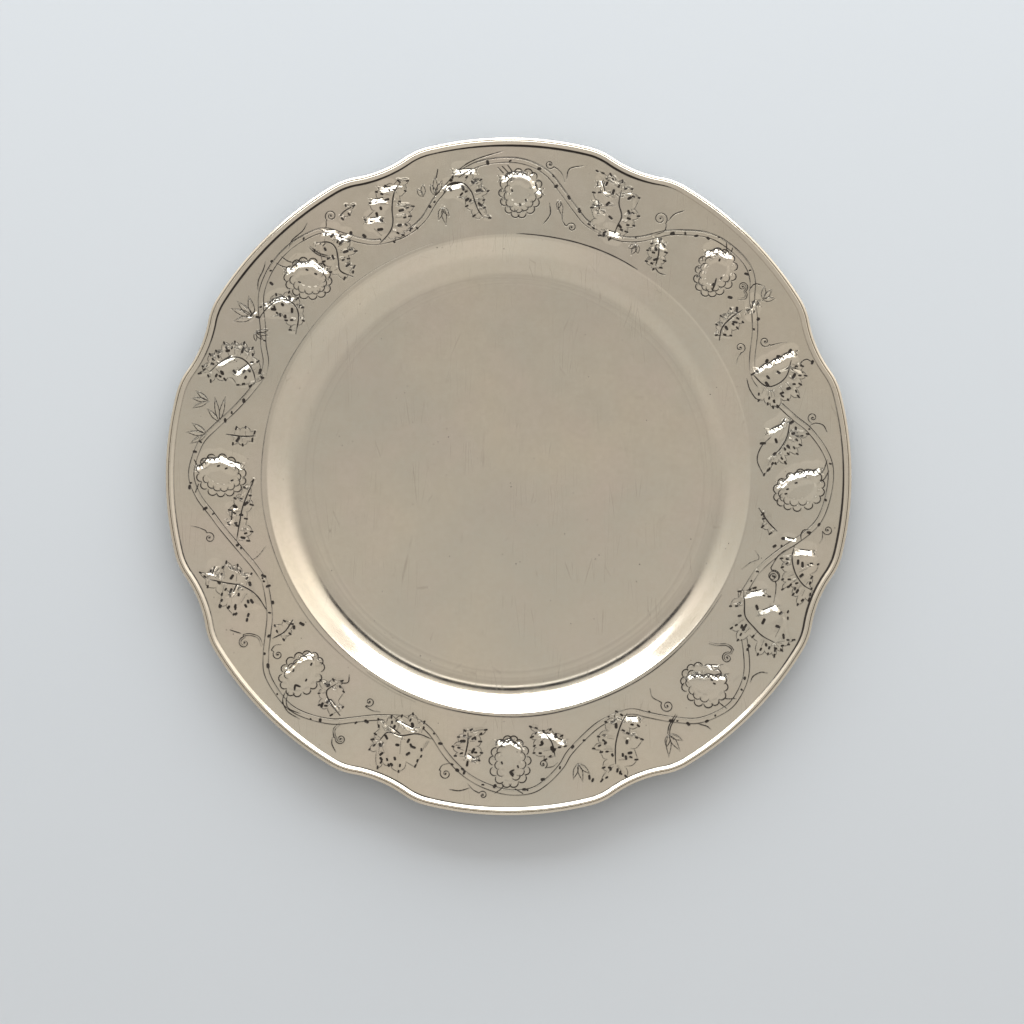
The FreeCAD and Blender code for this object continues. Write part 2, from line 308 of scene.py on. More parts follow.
    def inside(self, outline):
        """Index of the grid near a closed x, y outline, and which of its vertices lie inside."""
        here = self.around(outline, 0.5)
        x, y = self.x[here], self.y[here]
        within = np.zeros(x.shape, bool)
        for a, b in zip(outline, np.roll(outline, -1, axis=0)):
            crosses = (a[1] > y) != (b[1] > y)
            at_x = a[0] + (y - a[1]) * (b[0] - a[0]) / (b[1] - a[1] + 1e-12)
            within ^= crosses & (x < at_x)
        return here, within

    def raise_inside(self, outline, height, flank):
        """Raise the inside of a closed x, y outline, level in the middle."""
        here, within = self.inside(outline)
        distance, _ = nearest(self.x[here], self.y[here], np.vstack([outline, outline[:1]]))
        t = np.clip(distance / flank, 0, 1) * within
        self.height[here] += height * t * t * (3 - 2 * t)

    def dome(self, outline, height, flank):
        """Wipe what lies inside an outline, so that it passes over the vine, and raise it."""
        here, within = self.inside(outline)
        self.height[here] *= ~within
        self.dark[here] *= ~within
        self.raise_inside(outline, height, flank)


# ---------------------------------------------------------------- motifs

# Berries in the outer ring of a bunch.
BERRIES = 14


def local(at, offsets):
    """(degrees, mm) of points given as (right, out) mm from a place, seen with the rim up."""
    degrees, radius = at
    out = []
    for right, outward in offsets:
        reach = radius + outward
        out.append((degrees - math.degrees(math.atan2(right, reach)), math.hypot(right, reach)))
    return out


def spiral(border, at, size, tail, turns=1.3, sense=1, double=False):
    """A tendril: a tail leading into a small coil with a punched eye."""
    centre, start = place([at])[0], place([tail[-1]])[0]
    first = math.atan2(*(start - centre)[::-1])
    coil = []
    for t in np.linspace(0, 1, 22):
        angle = first + sense * turns * 2 * math.pi * t
        coil.append(centre + 1.25 * size * (1 - 0.8 * t) * np.array([math.cos(angle), math.sin(angle)]))
    line = np.vstack([smooth(place(tail)), coil]) if len(tail) > 1 else np.array(coil)
    border.cut(line, width=0.26, depth=0.06, dark=0.68)
    if double:
        side = shift_sideways(line[:-10], 0.8 * sense)
        border.cut(side, width=0.26, depth=0.06, dark=0.55)
    border.dot(at, size=0.34, length=0.3, dark=0.7)


def grapes(border, at, width, height, lean=0.0, double=(0.0, 1.0), stem=(), glints=()):
    """A hanging bunch: a domed middle in a ring of berries, with a second row along part of the ring.

    double gives where that second row starts and ends, as shares of a turn clockwise from the top."""
    def spot(share, inward=0.0):
        """(right, out) mm of a place round the bunch, share of a turn clockwise from the top."""
        turn = 2 * math.pi * share
        right, out = math.sin(turn), math.cos(turn)
        half, tall = width / 2 - inward, height / 2 - inward
        return half * right * (1 + 0.10 * out) + lean * out * height / 2, tall * out

    rim = [spot(share) for share in np.linspace(0, 1, 24, endpoint=False)]
    inside = [spot(share, 1.9) for share in np.linspace(0, 1, 20, endpoint=False)]
    border.dome(place(local(at, rim)), 0.22, 1.4)
    border.raise_inside(place(local(at, inside)), 0.6, 2.4)
    for number in range(BERRIES):
        share = (number + border.random.uniform(0.35, 0.65)) / BERRIES
        rows = [(0.9, 1.0)]
        if double[0] <= share <= double[1]:
            rows.append((3.3, 0.8))
        for inward, strength in rows:
            right, out = spot(share + (0.5 / BERRIES if inward > 2 else 0), inward)
            size = border.random.uniform(1.75, 2.1)
            middle = spot(share, width / 2 - 0.5)
            facing = math.atan2(right - middle[0], out - middle[1])
            arc = [(right + size * math.sin(facing + turn), out + size * math.cos(facing + turn))
                   for turn in np.linspace(-1.5, 1.5, 8)]
            border.swell(local(at, [(right, out)]), 1.9, 0.2)
            border.line(local(at, arc), width=0.28, dark=0.8 * strength)
    for share in border.random.uniform(0, 1, 3):
        border.dot(local(at, [spot(share, 0.28 * width)])[0], size=0.34, length=0.7, turn=20, dark=0.8)
    for fork in stem:
        border.line(fork, width=0.27, dark=0.7)
    for path in glints:
        border.glint(path)


def lobe_side(tip, notch, rib_at):
    """Curve from a lobe's pointed tip round its swelling side into the notch beside it."""
    outward = (tip - rib_at) / (np.linalg.norm(tip - rib_at) + 1e-6)
    side = notch - tip
    side = side - (side @ outward) * outward
    belly = tip + 0.42 * (notch - tip) + 0.42 * side
    return smooth(np.array([tip, belly, notch]), 0.4)


def leaf_lobes(border, tips, root_of):
    """Outlines between neighbouring lobe tips, meeting in notches; far-apart tips stay unjoined."""
    for tip, other in zip(tips, tips[1:]):
        gap = np.linalg.norm(other - tip)
        if gap > 9.5:
            continue
        between = (tip + other) / 2
        back = root_of(between) - between
        reach = np.linalg.norm(back) + 1e-6
        notch = between + back * min(0.45, (0.5 + 0.42 * gap) / reach)
        for end in (tip, other):
            border.cut(lobe_side(end, notch, root_of(end)), width=0.23, depth=0.05, dark=0.54, taper=0.3)


def leaf_marks(border, tips, root_of):
    """For each lobe a low ridge, a punched tip, a vein, and on long lobes a seed mark."""
    for tip in tips:
        back = root_of(tip) - tip
        reach = np.linalg.norm(back) + 1e-6
        border.swell_line(np.array([tip + back * 0.3, tip + back * 0.7]), 1.8, 0.16)
        inwards = back / reach
        length = border.random.uniform(0.5, 1.2)
        border.cut(np.array([tip, tip + inwards * length]), width=0.34, depth=0.07, dark=1.35)
        if reach > 3:
            border.cut(np.array([tip + back * 0.5, tip + back * 0.85]), width=0.22, depth=0.04, dark=0.45)
        if reach > 4.5:
            aside = np.array([-inwards[1], inwards[0]]) * border.random.uniform(-1.3, 1.3)
            seed = tip + inwards * 2.6 + aside
            seed_end = seed + inwards * 0.7 + aside * 0.3
            border.cut(np.array([seed, seed_end]), width=0.36, depth=0.09, dark=1.3)


def leaf(border, midrib, teeth, dashes=(), glints=(), shade_blots=(), covers=True):
    """A lobed leaf: domed along its midrib, each pointed lobe veined and punched at its tip.

    A leaf that covers hides the stem where it passes over it."""
    rib = smooth(place(midrib))
    tips = place(teeth)
    outline = np.vstack([rib[:1], tips, rib[-1:]])
    middle = outline.mean(axis=0)
    order = np.argsort(np.arctan2(outline[:, 1] - middle[1], outline[:, 0] - middle[0]))
    if covers:
        border.dome(middle + (outline[order] - middle) * 0.9, height=0.5, flank=2.8)
    border.cut(rib, width=0.30, depth=0.07, dark=0.9)

    def root_of(point):
        """The place on the midrib nearest to a point."""
        _, along = nearest(point[0:1], point[1:2], rib)
        return rib[int(along[0] * (len(rib) - 1))]

    leaf_lobes(border, tips, root_of)
    leaf_marks(border, tips, root_of)
    border.dots(*dashes, size=0.48, length=0.9)
    for path in glints:
        border.glint(path)
    # Punch-mark clusters holding painted dark reflection on the leaf's side away from the light.
    for path in shade_blots:
        border.shade_blot(path)


def petals(border, base, tips, width=1.0):
    """A bud or tulip: slim petals fanning from one place."""
    start = place([base])[0]
    for tip in place(tips):
        run = tip - start
        side = np.array([-run[1], run[0]]) / (np.linalg.norm(run) + 1e-6) * width
        border.swell_line(np.array([start + 0.2 * run, start + 0.75 * run]), 1.2, 0.2)
        for way in (-1, 1):
            bulge = start + 0.45 * run + way * side
            border.cut(smooth(np.array([start, bulge, tip])), width=0.25, depth=0.06, dark=0.6)


# ---------------------------------------------------------------- the vine and its eight groups

VINE = [(-22, 118.5), (-19, 121.5), (-16, 126), (-13.5, 131), (-11, 136), (-8.5, 139.7), (-5, 142),
        (-1, 143.3), (2, 142.8), (5, 140), (8.5, 135), (11, 130), (15, 124), (20, 118.5), (23, 118),
        (26, 121), (30, 127), (33, 131), (36, 134.5), (38.5, 139.5), (41, 142.3), (44, 143), (48, 142),
        (51, 139.5), (54, 135), (57, 130), (61, 121.5), (65, 117.5), (69, 117), (73, 119), (76, 123.5),
        (79.5, 130.5), (82.5, 137), (86, 141), (90, 142.5), (95, 141.5), (99, 138), (102, 133), (105, 128),
        (108, 122), (111, 119), (114, 118), (119, 120), (122, 124.5), (124.5, 131), (127, 138), (131, 141),
        (135, 142), (139, 141), (143, 138), (146, 133.5), (149, 128), (152, 124), (155, 119.5), (158, 118),
        (163, 121.5), (167, 126), (171, 132.5), (174, 137.5), (178, 140.5), (181, 141), (184.5, 138),
        (188, 133), (191, 129.5), (196, 124), (200, 120.5), (204, 118.5), (207, 120), (211, 123.5),
        (214, 128.5), (217, 134.5), (220, 139.5), (224, 141.8), (227.5, 142.3), (231, 140), (235, 135.5),
        (238, 130), (241, 125), (244, 121.5), (248, 118), (251, 118.5), (254, 121.5), (257, 127.5),
        (259.5, 132), (262.5, 136.5), (266, 140), (270, 142.3), (274, 142), (277, 138.5), (280, 133),
        (282, 128), (285, 123.5), (289, 119.5), (293, 118), (297, 119.5), (299.5, 124), (302, 129),
        (304.5, 134), (307, 138.5), (310, 141.3), (313.5, 142.8), (317, 141), (320, 137.5), (323, 131.5),
        (325.5, 126), (328, 121), (332, 117.5), (335, 117.6), (338, 118.5)]


def vine(border):
    """The running stem: two lines with a low ridge between them and dots beside it."""
    for number in range(8):
        part = [p for p in VINE if 45 * number - 24 <= p[0] <= 45 * number + 24]
        border.swell(part, 1.6, 0.1)
        border.double(part, gap=2.4, width=0.26, depth=0.06, dark=0.58, taper=0.06)
        for degrees, radius in part[::2]:
            border.dots((degrees + border.random.uniform(-1, 1), radius + border.random.choice([-0.5, 0.4])),
                        size=0.33, length=0.4)


def group_0(border):
    """The bunch on +X, the leaves each side of it, and three tendrils."""
    grapes(border, (-3.4, 129.3), 17, 21, lean=-0.16, double=(0.1, 0.5),
           stem=[[(2.5, 142), (0.5, 140), (-0.7, 137)], [(0.5, 142.5), (-1, 140.5), (-1.7, 138.5)]],
           glints=[[(0.3, 137.5), (0, 131), (-0.7, 126.5)], [(-1.2, 124.5), (-2.4, 122)]])
    leaf(border, [(22.5, 117.5), (19, 121), (18.5, 126), (19.5, 131.5), (22, 136)],
         [(20.2, 140), (18.3, 140), (17, 136.5), (14.8, 134), (14.8, 129), (13.9, 123.5), (14, 121.5),
          (15, 119.5), (16.3, 116)],
         dashes=[(19, 134.5), (20.7, 128.7), (16.5, 127), (19.2, 122), (17, 130.5), (20.5, 123.5),
                 (22.5, 120)],
         glints=[[(23.2, 137.5), (23, 130), (22.7, 121)]])
    border.line([(20.3, 144.5), (21.2, 142.5), (20.9, 139.5), (20, 140)])
    border.line([(22, 114.5), (19.5, 114), (17, 115.3), (16.5, 117.5)])
    border.dots((20.3, 144.5), (23.8, 137.3), (23.7, 131.5), (23.8, 126))
    leaf(border, [(10, 127), (7.5, 125), (5, 121), (4, 117.5)],
         [(7.5, 134.8), (5.5, 131), (3.8, 129), (3.9, 125), (2, 123.5), (2, 119), (0.8, 116), (-0.5, 113.5)],
         dashes=[(9, 129.5), (8, 128), (5.5, 125), (7, 120), (4.2, 118.7), (6.8, 114), (10.3, 128)],
         glints=[[(10.8, 125.5), (9.6, 122), (9.3, 118.5)]])
    border.line([(8, 118), (6, 113), (3, 110.8), (-0.5, 113.5)])
    spiral(border, (10.5, 137.8), 1.9, [(8.4, 135), (9.2, 136.4)], sense=-1)
    border.line([(7.5, 143), (8.8, 141.8), (9.4, 138.5), (9.1, 136)])
    spiral(border, (-10.2, 144), 1.9, [(-12.8, 141.5), (-11.8, 142.3), (-10.6, 141.8)])
    spiral(border, (-21.5, 126.5), 2.4, [(-14.8, 129.5), (-17, 125.5), (-20, 123.8)], sense=-1, turns=1.6)
    border.line([(-17.5, 114.8), (-19, 117.5), (-20.5, 114.5), (-22.5, 112)], dark=0.5)
    leaf(border, [(-12.3, 122), (-10.8, 117.5), (-8, 112.3)],
         [(-13.3, 119), (-12.2, 115), (-10.3, 114.8), (-9, 114.7)], covers=False)
    border.glint([(-13.2, 130), (-13.2, 127)], width=1.5, height=0.45)
    border.dots((-13.5, 125.5), (-15.5, 122.5), (-11.3, 136), (-9.5, 139.8))
    border.line([(-10.8, 135.8), (-11, 133.5), (-12, 132.7), (-13, 133.3)])
    leaf(border, [(-14.5, 131), (-17, 131.5), (-19.5, 135), (-21, 140), (-21.3, 144.5)],
         [(-16.5, 143.5), (-19, 142.5), (-21, 144), (-23.3, 144.7), (-24.8, 141), (-23.5, 137.2),
          (-22, 134.5), (-23.3, 132), (-21.5, 130.3), (-19.3, 128.2), (-17.6, 126.6)],
         dashes=[(-17.5, 136.7), (-17.3, 134.5), (-19.5, 137.8), (-22.5, 138.5)],
         glints=[[(-15, 138.5), (-15.2, 134)]])


def group_45(border):
    """The bunch at 45 degrees with a broad leaf, two small ones, buds and tendrils."""
    grapes(border, (44.5, 129.5), 17, 21, lean=-0.12, double=(0.15, 0.9),
           stem=[[(47, 143), (46, 140.5)], [(45.5, 143), (45, 140.5)]],
           glints=[[(48, 134.5), (46.8, 138), (45.2, 138.5)]])
    border.line([(43.5, 128), (42.8, 125.5), (42.3, 123)], width=0.36, dark=1.0)
    leaf(border, [(66.5, 118), (66.5, 122), (66.5, 127), (68, 132), (68.5, 138)],
         [(74, 143), (71.5, 143.5), (69, 142.5), (66.7, 140.5), (64.8, 138), (63.3, 130.5), (63.3, 125.5),
          (64, 121.5), (67, 114.8), (69.5, 115), (72.5, 118.5), (73, 126), (73.5, 133)],
         dashes=[(66.5, 136), (65.5, 130), (65, 127.3), (68.5, 124.5), (66, 122.5), (68.5, 116.3),
                 (70, 130), (71.5, 138.5), (69.8, 136)],
         glints=[[(72.3, 138), (71.2, 134)], [(71.8, 128.5), (71, 125)], [(67.5, 117.5), (66, 118)]])
    leaf(border, [(57.5, 125.5), (56, 120), (55, 114.5)],
         [(58.5, 122), (58.5, 118.5), (57.5, 114), (55, 112.5), (53.6, 115.5), (53.8, 119), (54.6, 122.5)],
         dashes=[(57, 121), (55.8, 117)],
         glints=[[(57.5, 125), (56.6, 123.3)]])
    border.line([(55, 114), (53.5, 113), (52, 114)])
    leaf(border, [(35.3, 128), (35.2, 121), (34.5, 115.5), (32.5, 111.5)],
         [(37, 124), (37, 118.5), (36, 114.5), (34, 111.5), (32, 117.3), (32.5, 121.5), (33, 125)],
         dashes=[(34, 122), (34, 117.3), (36, 126)],
         glints=[[(35, 134), (34, 131)]])
    petals(border, (34.6, 138), [(36.6, 142.5), (35.3, 144.5), (33.6, 143)])
    petals(border, (61, 118.5), [(62.3, 115), (61, 113), (59.8, 115)])
    spiral(border, (59.5, 134), 2.6, [(59, 126), (57.6, 130), (57.9, 133)], turns=1.5)
    border.line([(58, 135), (57.7, 139), (56.5, 143)])
    spiral(border, (38.9, 134.5), 2.0, [(37.5, 129), (36.7, 132), (37.2, 134)], double=True)
    border.line([(37.6, 135.5), (37.9, 139.5), (36.8, 142)])
    spiral(border, (27.5, 129), 2.0, [(25.5, 137.8), (26, 134), (26.3, 130.5)], sense=-1)
    spiral(border, (28.8, 118), 2.0, [(26, 113), (27, 114.8), (27.6, 117)])
    border.dots((52, 136.5), (50, 139), (40.3, 139.5), (32, 131.5), (56, 131.2), (38.8, 127))


def group_90(border):
    """The bunch at the +Y end with two broad leaves, buds and two tendrils."""
    grapes(border, (87.6, 127.3), 17.5, 21, lean=0.05, double=(0.1, 0.9),
           stem=[[(92, 139), (91, 136.5)], [(91.2, 139.5), (90.2, 137)], [(90.2, 140), (89.4, 137.5)]],
           glints=[[(90.7, 134), (88.5, 136), (86.3, 134.5)], [(84.8, 131.5), (84.3, 128.5)]])
    leaf(border, [(119, 119), (116, 121.5), (114.5, 125), (113.5, 131), (112, 137), (110, 141)],
         [(119.3, 132), (117, 137.5), (115, 141), (113, 142), (110.5, 142), (108.7, 140.2), (109.8, 136),
          (111.5, 132.5), (109.3, 128.3), (110.5, 124.5), (111.3, 119), (113.5, 117.5), (116, 116.5)],
         dashes=[(116.5, 128), (115.5, 133), (113.8, 135.5), (112, 128.5), (113.5, 122.5), (117.5, 124.5),
                 (111.8, 138.5), (116.7, 131.5)],
         glints=[[(113.6, 140.3), (112.4, 139.3)], [(115.8, 137.3), (114.5, 136.3)],
                 [(118.5, 130), (117, 128.8)]])
    leaf(border,
         [(103, 130), (101.5, 134), (99, 133.5), (97.5, 129), (97, 124), (96.5, 120), (95.5, 116.5)],
         [(100.6, 137), (97, 137.5), (95.2, 134), (94, 128.5), (95, 124.5), (95, 121), (94, 116),
          (97.8, 117.5), (99, 122.5), (99.7, 128)],
         dashes=[(99, 131), (97, 133), (96, 129), (98.5, 125.5), (96, 122.5), (101.5, 131.5)],
         glints=[[(99.5, 138.5), (97, 138)], [(102, 132.5), (99.5, 132.5)]])
    border.line([(99.5, 139.5), (97.5, 142), (95, 144), (91, 146.5)])
    petals(border, (104.6, 130), [(105, 136), (103.8, 139), (102.6, 136.5)])
    border.line([(103.6, 138), (103, 141.5)])
    petals(border, (107, 131), [(107.7, 135.5), (106.3, 137)])
    petals(border, (103.8, 124.5), [(105.3, 119), (104, 116), (102.8, 119.5)])
    petals(border, (79.6, 126), [(79.6, 121.5), (78.4, 119)])
    border.line([(81.5, 124), (81, 119), (82.2, 114)])
    spiral(border, (82.5, 141.5), 1.7, [(79.2, 134.5), (80, 138), (81, 140)], sense=-1)
    border.line([(79, 136), (78.8, 141), (76.5, 143.7)])
    spiral(border, (75.8, 115), 1.8, [(78.5, 121), (78.2, 117.5), (77.3, 115.3)], sense=-1)
    border.dots((84.3, 139), (80.7, 132), (93.8, 141.4), (101, 135.5), (106.3, 126), (75, 123), (77.8, 128))


def group_135(border):
    """The bunch at 135 degrees between two curled leaves, with a tall bud and a tendril."""
    grapes(border, (135.5, 125.5), 17, 19.5, lean=-0.1, double=(0.15, 0.85),
           stem=[[(137.5, 141), (137.2, 138), (136.5, 135.5)], [(136, 141.5), (135.8, 138), (135.2, 135.5)]],
           glints=[[(137, 134), (134.8, 133.2), (133, 129.5)], [(132.2, 126.5), (132, 124)]])
    leaf(border,
         [(148, 131.5), (146.3, 131.5), (143.3, 130), (141.7, 126), (141.6, 121.5), (143, 117.5),
          (146.5, 114)],
         [(145, 133.8), (142, 132), (140, 128), (139.8, 123), (140.7, 118.5), (143, 114.5), (146.5, 117.5),
          (145.3, 121.5), (145, 126)],
         dashes=[(143, 126.5), (142.8, 121.5), (144.8, 128.5), (141, 126)],
         glints=[[(144.8, 131.5), (142.5, 129.5), (141.8, 126)]],
         shade_blots=[[(144.9, 124.7), (144.6, 122.5)]])
    leaf(border, [(129.5, 135.5), (127.6, 132), (127.2, 128), (128.3, 123), (129.4, 118.5), (128, 113)],
         [(130.8, 133), (131, 127), (131.3, 121), (130, 114.5), (126.2, 116.5), (126.2, 120.5),
          (124, 121.5), (124, 127), (125, 131.5), (127, 136)],
         dashes=[(129, 130.5), (128.8, 125.5), (126, 124), (125.8, 128.5), (127.4, 118.5)],
         glints=[[(126.8, 136), (125.6, 134.3)], [(125.4, 130.7), (124.3, 129)]])
    border.double([(131, 136), (130.6, 131), (129.3, 126.5)], gap=0.8)
    petals(border, (148.2, 134), [(150.8, 141), (149, 145), (147.3, 144.5), (145.3, 141.5)], width=1.3)
    border.glint([(148.4, 135.5), (147.3, 135)], width=1.3, height=0.35)
    petals(border, (150.7, 130), [(152.2, 127.5), (151.2, 125), (149.8, 123.8), (148.7, 124.8)], width=0.7)
    border.line([(143.5, 139.5), (142, 142), (140, 143.3), (138.6, 145)])
    border.line([(134, 141.8), (132.5, 143.4), (130, 143.5), (128.5, 145)])
    spiral(border, (124.3, 141.3), 2.2, [(127, 136.8), (126, 139), (125.6, 140.5)], sense=-1, turns=1.5)
    leaf(border, [(123, 139), (121.8, 139.8), (120.3, 139.8)],
         [(122.8, 136.8), (121.3, 137), (119.6, 139.8), (121, 142)], covers=False)
    border.dots((126.3, 133.5), (137.8, 143), (141, 136.5), (147.8, 132.5), (121, 125.5), (123, 129.7))


def group_180(border):
    """The bunch on -X with three broad leaves, a small one, and tall buds."""
    grapes(border, (180.4, 127.8), 17.5, 20.5, lean=0.1, double=(0.3, 0.95),
           stem=[[(177.5, 140), (178.6, 138.5)], [(183.5, 139.5), (182, 138)]],
           glints=[[(179.2, 137.5), (177.6, 134), (177.3, 128.5)], [(177.6, 125), (178.4, 120)]])
    leaf(border, [(210, 123.5), (206, 124.5), (203, 129), (201.5, 134.5), (199.8, 141)],
         [(207.5, 137.5), (205, 141.5), (203.3, 138.5), (201, 143), (198, 144), (198.2, 139), (199.5, 135),
          (197.5, 131.3), (198.8, 127), (201.5, 122.5)],
         dashes=[(203.4, 125), (203, 118), (205.4, 118), (204.5, 131.5), (203.2, 134), (200.8, 131.3),
                 (201, 137.5), (206.8, 127.5)],
         glints=[[(199.5, 139.5), (198.4, 137.5)], [(204, 133.5), (203, 130.8)]],
         shade_blots=[[(205.2, 141), (205.8, 138)], [(207.5, 136), (206.3, 135.3)],
                [(209.6, 133), (208.8, 131.5)], [(207, 131), (206.5, 129)]])
    leaf(border, [(194, 124.5), (190.5, 121.5), (187, 118.8), (181.5, 113.5)],
         [(194.8, 119), (193, 116.7), (190, 118), (187.2, 114.5), (185, 115), (181.5, 113.5), (183, 118),
          (185.2, 122.5), (187.5, 125.5), (190.5, 126.5)],
         dashes=[(193.8, 121.5), (191, 123), (187, 122.5), (186.7, 117.5), (189, 120.3)],
         glints=[[(190, 125), (188, 124)]])
    leaf(border, [(172, 127), (172, 120), (171.5, 114)],
         [(174, 123.5), (174, 119), (172.8, 115), (170.5, 114.5), (169.8, 119), (170.2, 123)],
         dashes=[(172.8, 121.5)], covers=False)
    petals(border, (172.5, 135.5), [(174.6, 142.5), (172.6, 144.8), (170.8, 143)], width=1.1)
    petals(border, (166.3, 137.5), [(168.2, 144), (166.5, 145.5), (165, 144.5)], width=0.9)
    petals(border, (169.8, 131), [(167.7, 137.5), (165.2, 135.5), (164.6, 131)], width=0.9)
    leaf(border, [(160, 120), (158, 123), (156.6, 128), (156.8, 133), (158.5, 137.5), (161, 141)],
         [(162, 145.5), (160.5, 145), (158, 144), (157, 142), (155, 140.3), (154, 136), (153.3, 132),
          (153.5, 127.5), (155.5, 122.5), (158.5, 117.5), (161.3, 122), (161.8, 127.5), (161.6, 133),
          (162.8, 139)],
         dashes=[(159.5, 141), (156.2, 137), (155, 131), (159.5, 130.5), (159.8, 125), (157.5, 120),
                 (160.5, 135.8)],
         glints=[[(158.9, 137.5), (157.2, 134.5)], [(159.5, 128.7), (157.6, 126.2)]],
         shade_blots=[[(161.3, 137.5), (160.6, 135)], [(158.8, 126.7), (158.2, 124.8)]])
    spiral(border, (192.3, 136), 2.0, [(189.5, 143), (190, 140), (190.8, 137)], sense=-1)
    border.line([(199, 121), (198.4, 117), (196.8, 112.5)], dark=0.5)
    border.dots((186.7, 135.8), (176, 140), (169.3, 128.5), (195, 124.6), (182.5, 142), (164.5, 122.5))


def group_225(border):
    """The bunch at 225 degrees with a broad leaf, two small ones and four tendrils."""
    grapes(border, (224.4, 128), 16, 20.5, lean=-0.02, double=(0.05, 0.45),
           stem=[[(230, 143.5), (227.5, 144.5), (225.5, 142.5), (224.5, 137.5)],
                 [(229.5, 141.5), (227.3, 143.2), (226, 141.5), (225.2, 138)]],
           glints=[[(222.4, 131.5), (222.3, 126.5)], [(222.4, 124), (222.8, 120.8)]])
    border.line([(225.7, 135.5), (225.2, 133.8), (226, 132.8)], width=0.4, dark=1.3)
    leaf(border, [(254, 123.5), (251, 123.3), (248, 126.5), (245.3, 127.5), (244.5, 132)],
         [(253, 132.5), (252.5, 137.5), (250, 142), (248, 141), (246.3, 144), (243.5, 138), (243, 133.5),
          (243, 130.5), (242.3, 124), (244.5, 120), (246.5, 118), (248.5, 115.3), (251.5, 117)],
         dashes=[(250.5, 133), (248.3, 140), (248.5, 137), (245, 134), (245.4, 129.7), (246, 124),
                 (249.3, 120.3), (248, 131), (251, 129.5)],
         glints=[[(249.8, 122.5), (247.2, 122)], [(247.8, 127.3), (245.5, 126)]],
         shade_blots=[[(250.6, 129), (249.8, 127.5)], [(246.1, 139.3), (245.8, 137.3)]])
    leaf(border, [(235.5, 131.5), (232.5, 129.5), (230.5, 126.5), (231, 121.5)],
         [(234, 134), (231, 133.5), (229.5, 129.5), (228, 124.5), (229.8, 120.5), (231.7, 118.2),
          (233.4, 122), (235, 127.5)],
         dashes=[(232, 129.5), (230, 124), (231.5, 132.5)],
         glints=[[(234, 130.2), (232.6, 129.3)]])
    border.line([(231.5, 120), (232.8, 117.5), (232, 114.5)])
    leaf(border, [(215.3, 128), (215.6, 122), (214.5, 116)],
         [(217, 124.5), (216.8, 120.5), (215.3, 117), (213.5, 119.5), (213.3, 124)],
         dashes=[(216, 117.5), (216.4, 113.8)], covers=False)
    spiral(border, (213, 139.5), 2.2, [(215.3, 133.3), (213.5, 132.6), (212, 135.5), (211.6, 138)], sense=1,
           double=True, turns=1.1)
    border.line([(211.2, 138.5), (210.4, 140.3), (209.6, 142)])
    spiral(border, (238, 140), 2.0, [(236.2, 134), (235.9, 138), (236.8, 141)], sense=1, double=True)
    border.line([(236.6, 141.5), (237.2, 144), (238.5, 146)])
    spiral(border, (218.5, 130.5), 1.8, [(217.3, 126.5), (216.7, 129), (217, 131.5)])
    spiral(border, (239, 119.3), 1.7, [(242, 120.8), (240.5, 122), (238.8, 122)], sense=1)
    border.dots((214.5, 128.8), (233, 138.3), (240.5, 127.5), (219, 137), (209, 119.5))


def group_270(border):
    """The bunch at the -Y end between two upright leaves, with a broad leaf beyond."""
    grapes(border, (270.3, 128.7), 16.5, 21, lean=0.0, double=(0.05, 0.9),
           stem=[[(267.5, 143), (268.6, 141), (269.2, 139)], [(272.5, 143), (271.2, 141)]],
           glints=[[(271.8, 121.7), (270, 120), (268.2, 120.7)]])
    border.line([(270.8, 135.3), (270.3, 133.6), (271, 132.6)], width=0.4, dark=1.3)
    leaf(border, [(279.2, 128), (279, 122), (277.8, 117)],
         [(281.8, 124.5), (281.5, 119.5), (279.3, 115.8), (277.5, 116), (274.7, 113.5), (274.7, 118.5),
          (275.2, 122.5), (275, 125.5), (277, 129)],
         dashes=[(279.2, 125.5), (277, 121.5), (280, 119), (278.8, 124.5)],
         glints=[[(281, 122.3), (280, 121)], [(278.8, 119.3), (277.5, 118.5)]])
    spiral(border, (276.7, 130.7), 1.6, [(279.5, 131), (278.5, 132.4), (277, 132.5)])
    leaf(border, [(261.3, 128), (261.5, 122), (261.2, 117.5)],
         [(264.3, 129), (264.7, 125.5), (264.3, 120.5), (265.2, 115), (262, 115.5), (260.3, 116.5),
          (259.2, 120), (258.5, 124.5), (259.3, 128.5)],
         dashes=[(262.8, 125), (262.6, 119.5), (260.4, 121.5), (262, 131)],
         glints=[[(263, 128.7), (262, 127.6)]],
         shade_blots=[[(261.7, 135.2), (261.3, 133.6)]])
    spiral(border, (265.5, 144), 1.5, [(262.5, 139.5), (263.6, 142), (264.5, 143)], sense=-1)
    spiral(border, (258.3, 137), 2.0, [(259, 131.8), (257.4, 133.5), (257, 136)])
    border.line([(263, 141.5), (261.3, 143.3), (259.5, 143.5)])
    leaf(border, [(296, 119.5), (294, 122.5), (292.2, 127), (291, 131.5), (290, 138)],
         [(297, 127), (294.6, 128), (296.5, 133), (294, 140), (291, 145.5), (286.5, 143.5), (287.5, 138),
          (288, 131), (286.8, 128.5), (288.5, 124), (291, 119), (294, 116.5)],
         dashes=[(293.5, 131), (290, 134), (289.5, 128), (292.8, 122.5), (293.2, 136), (288.8, 139.5)],
         glints=[[(297.2, 123.5), (295.6, 121.8)]],
         shade_blots=[[(292.2, 137.3), (291.7, 135.8)], [(290.2, 142.7), (289.9, 141.3)],
                [(285.2, 141.7), (284.8, 140.3)]])
    petals(border, (283.3, 133), [(285, 139), (283.4, 141.5), (281.8, 139.5)], width=1.0)
    border.dots((276.3, 137.5), (267.5, 139.8), (256, 124.5), (283, 125.5), (272.8, 141.3), (260.3, 134.5))


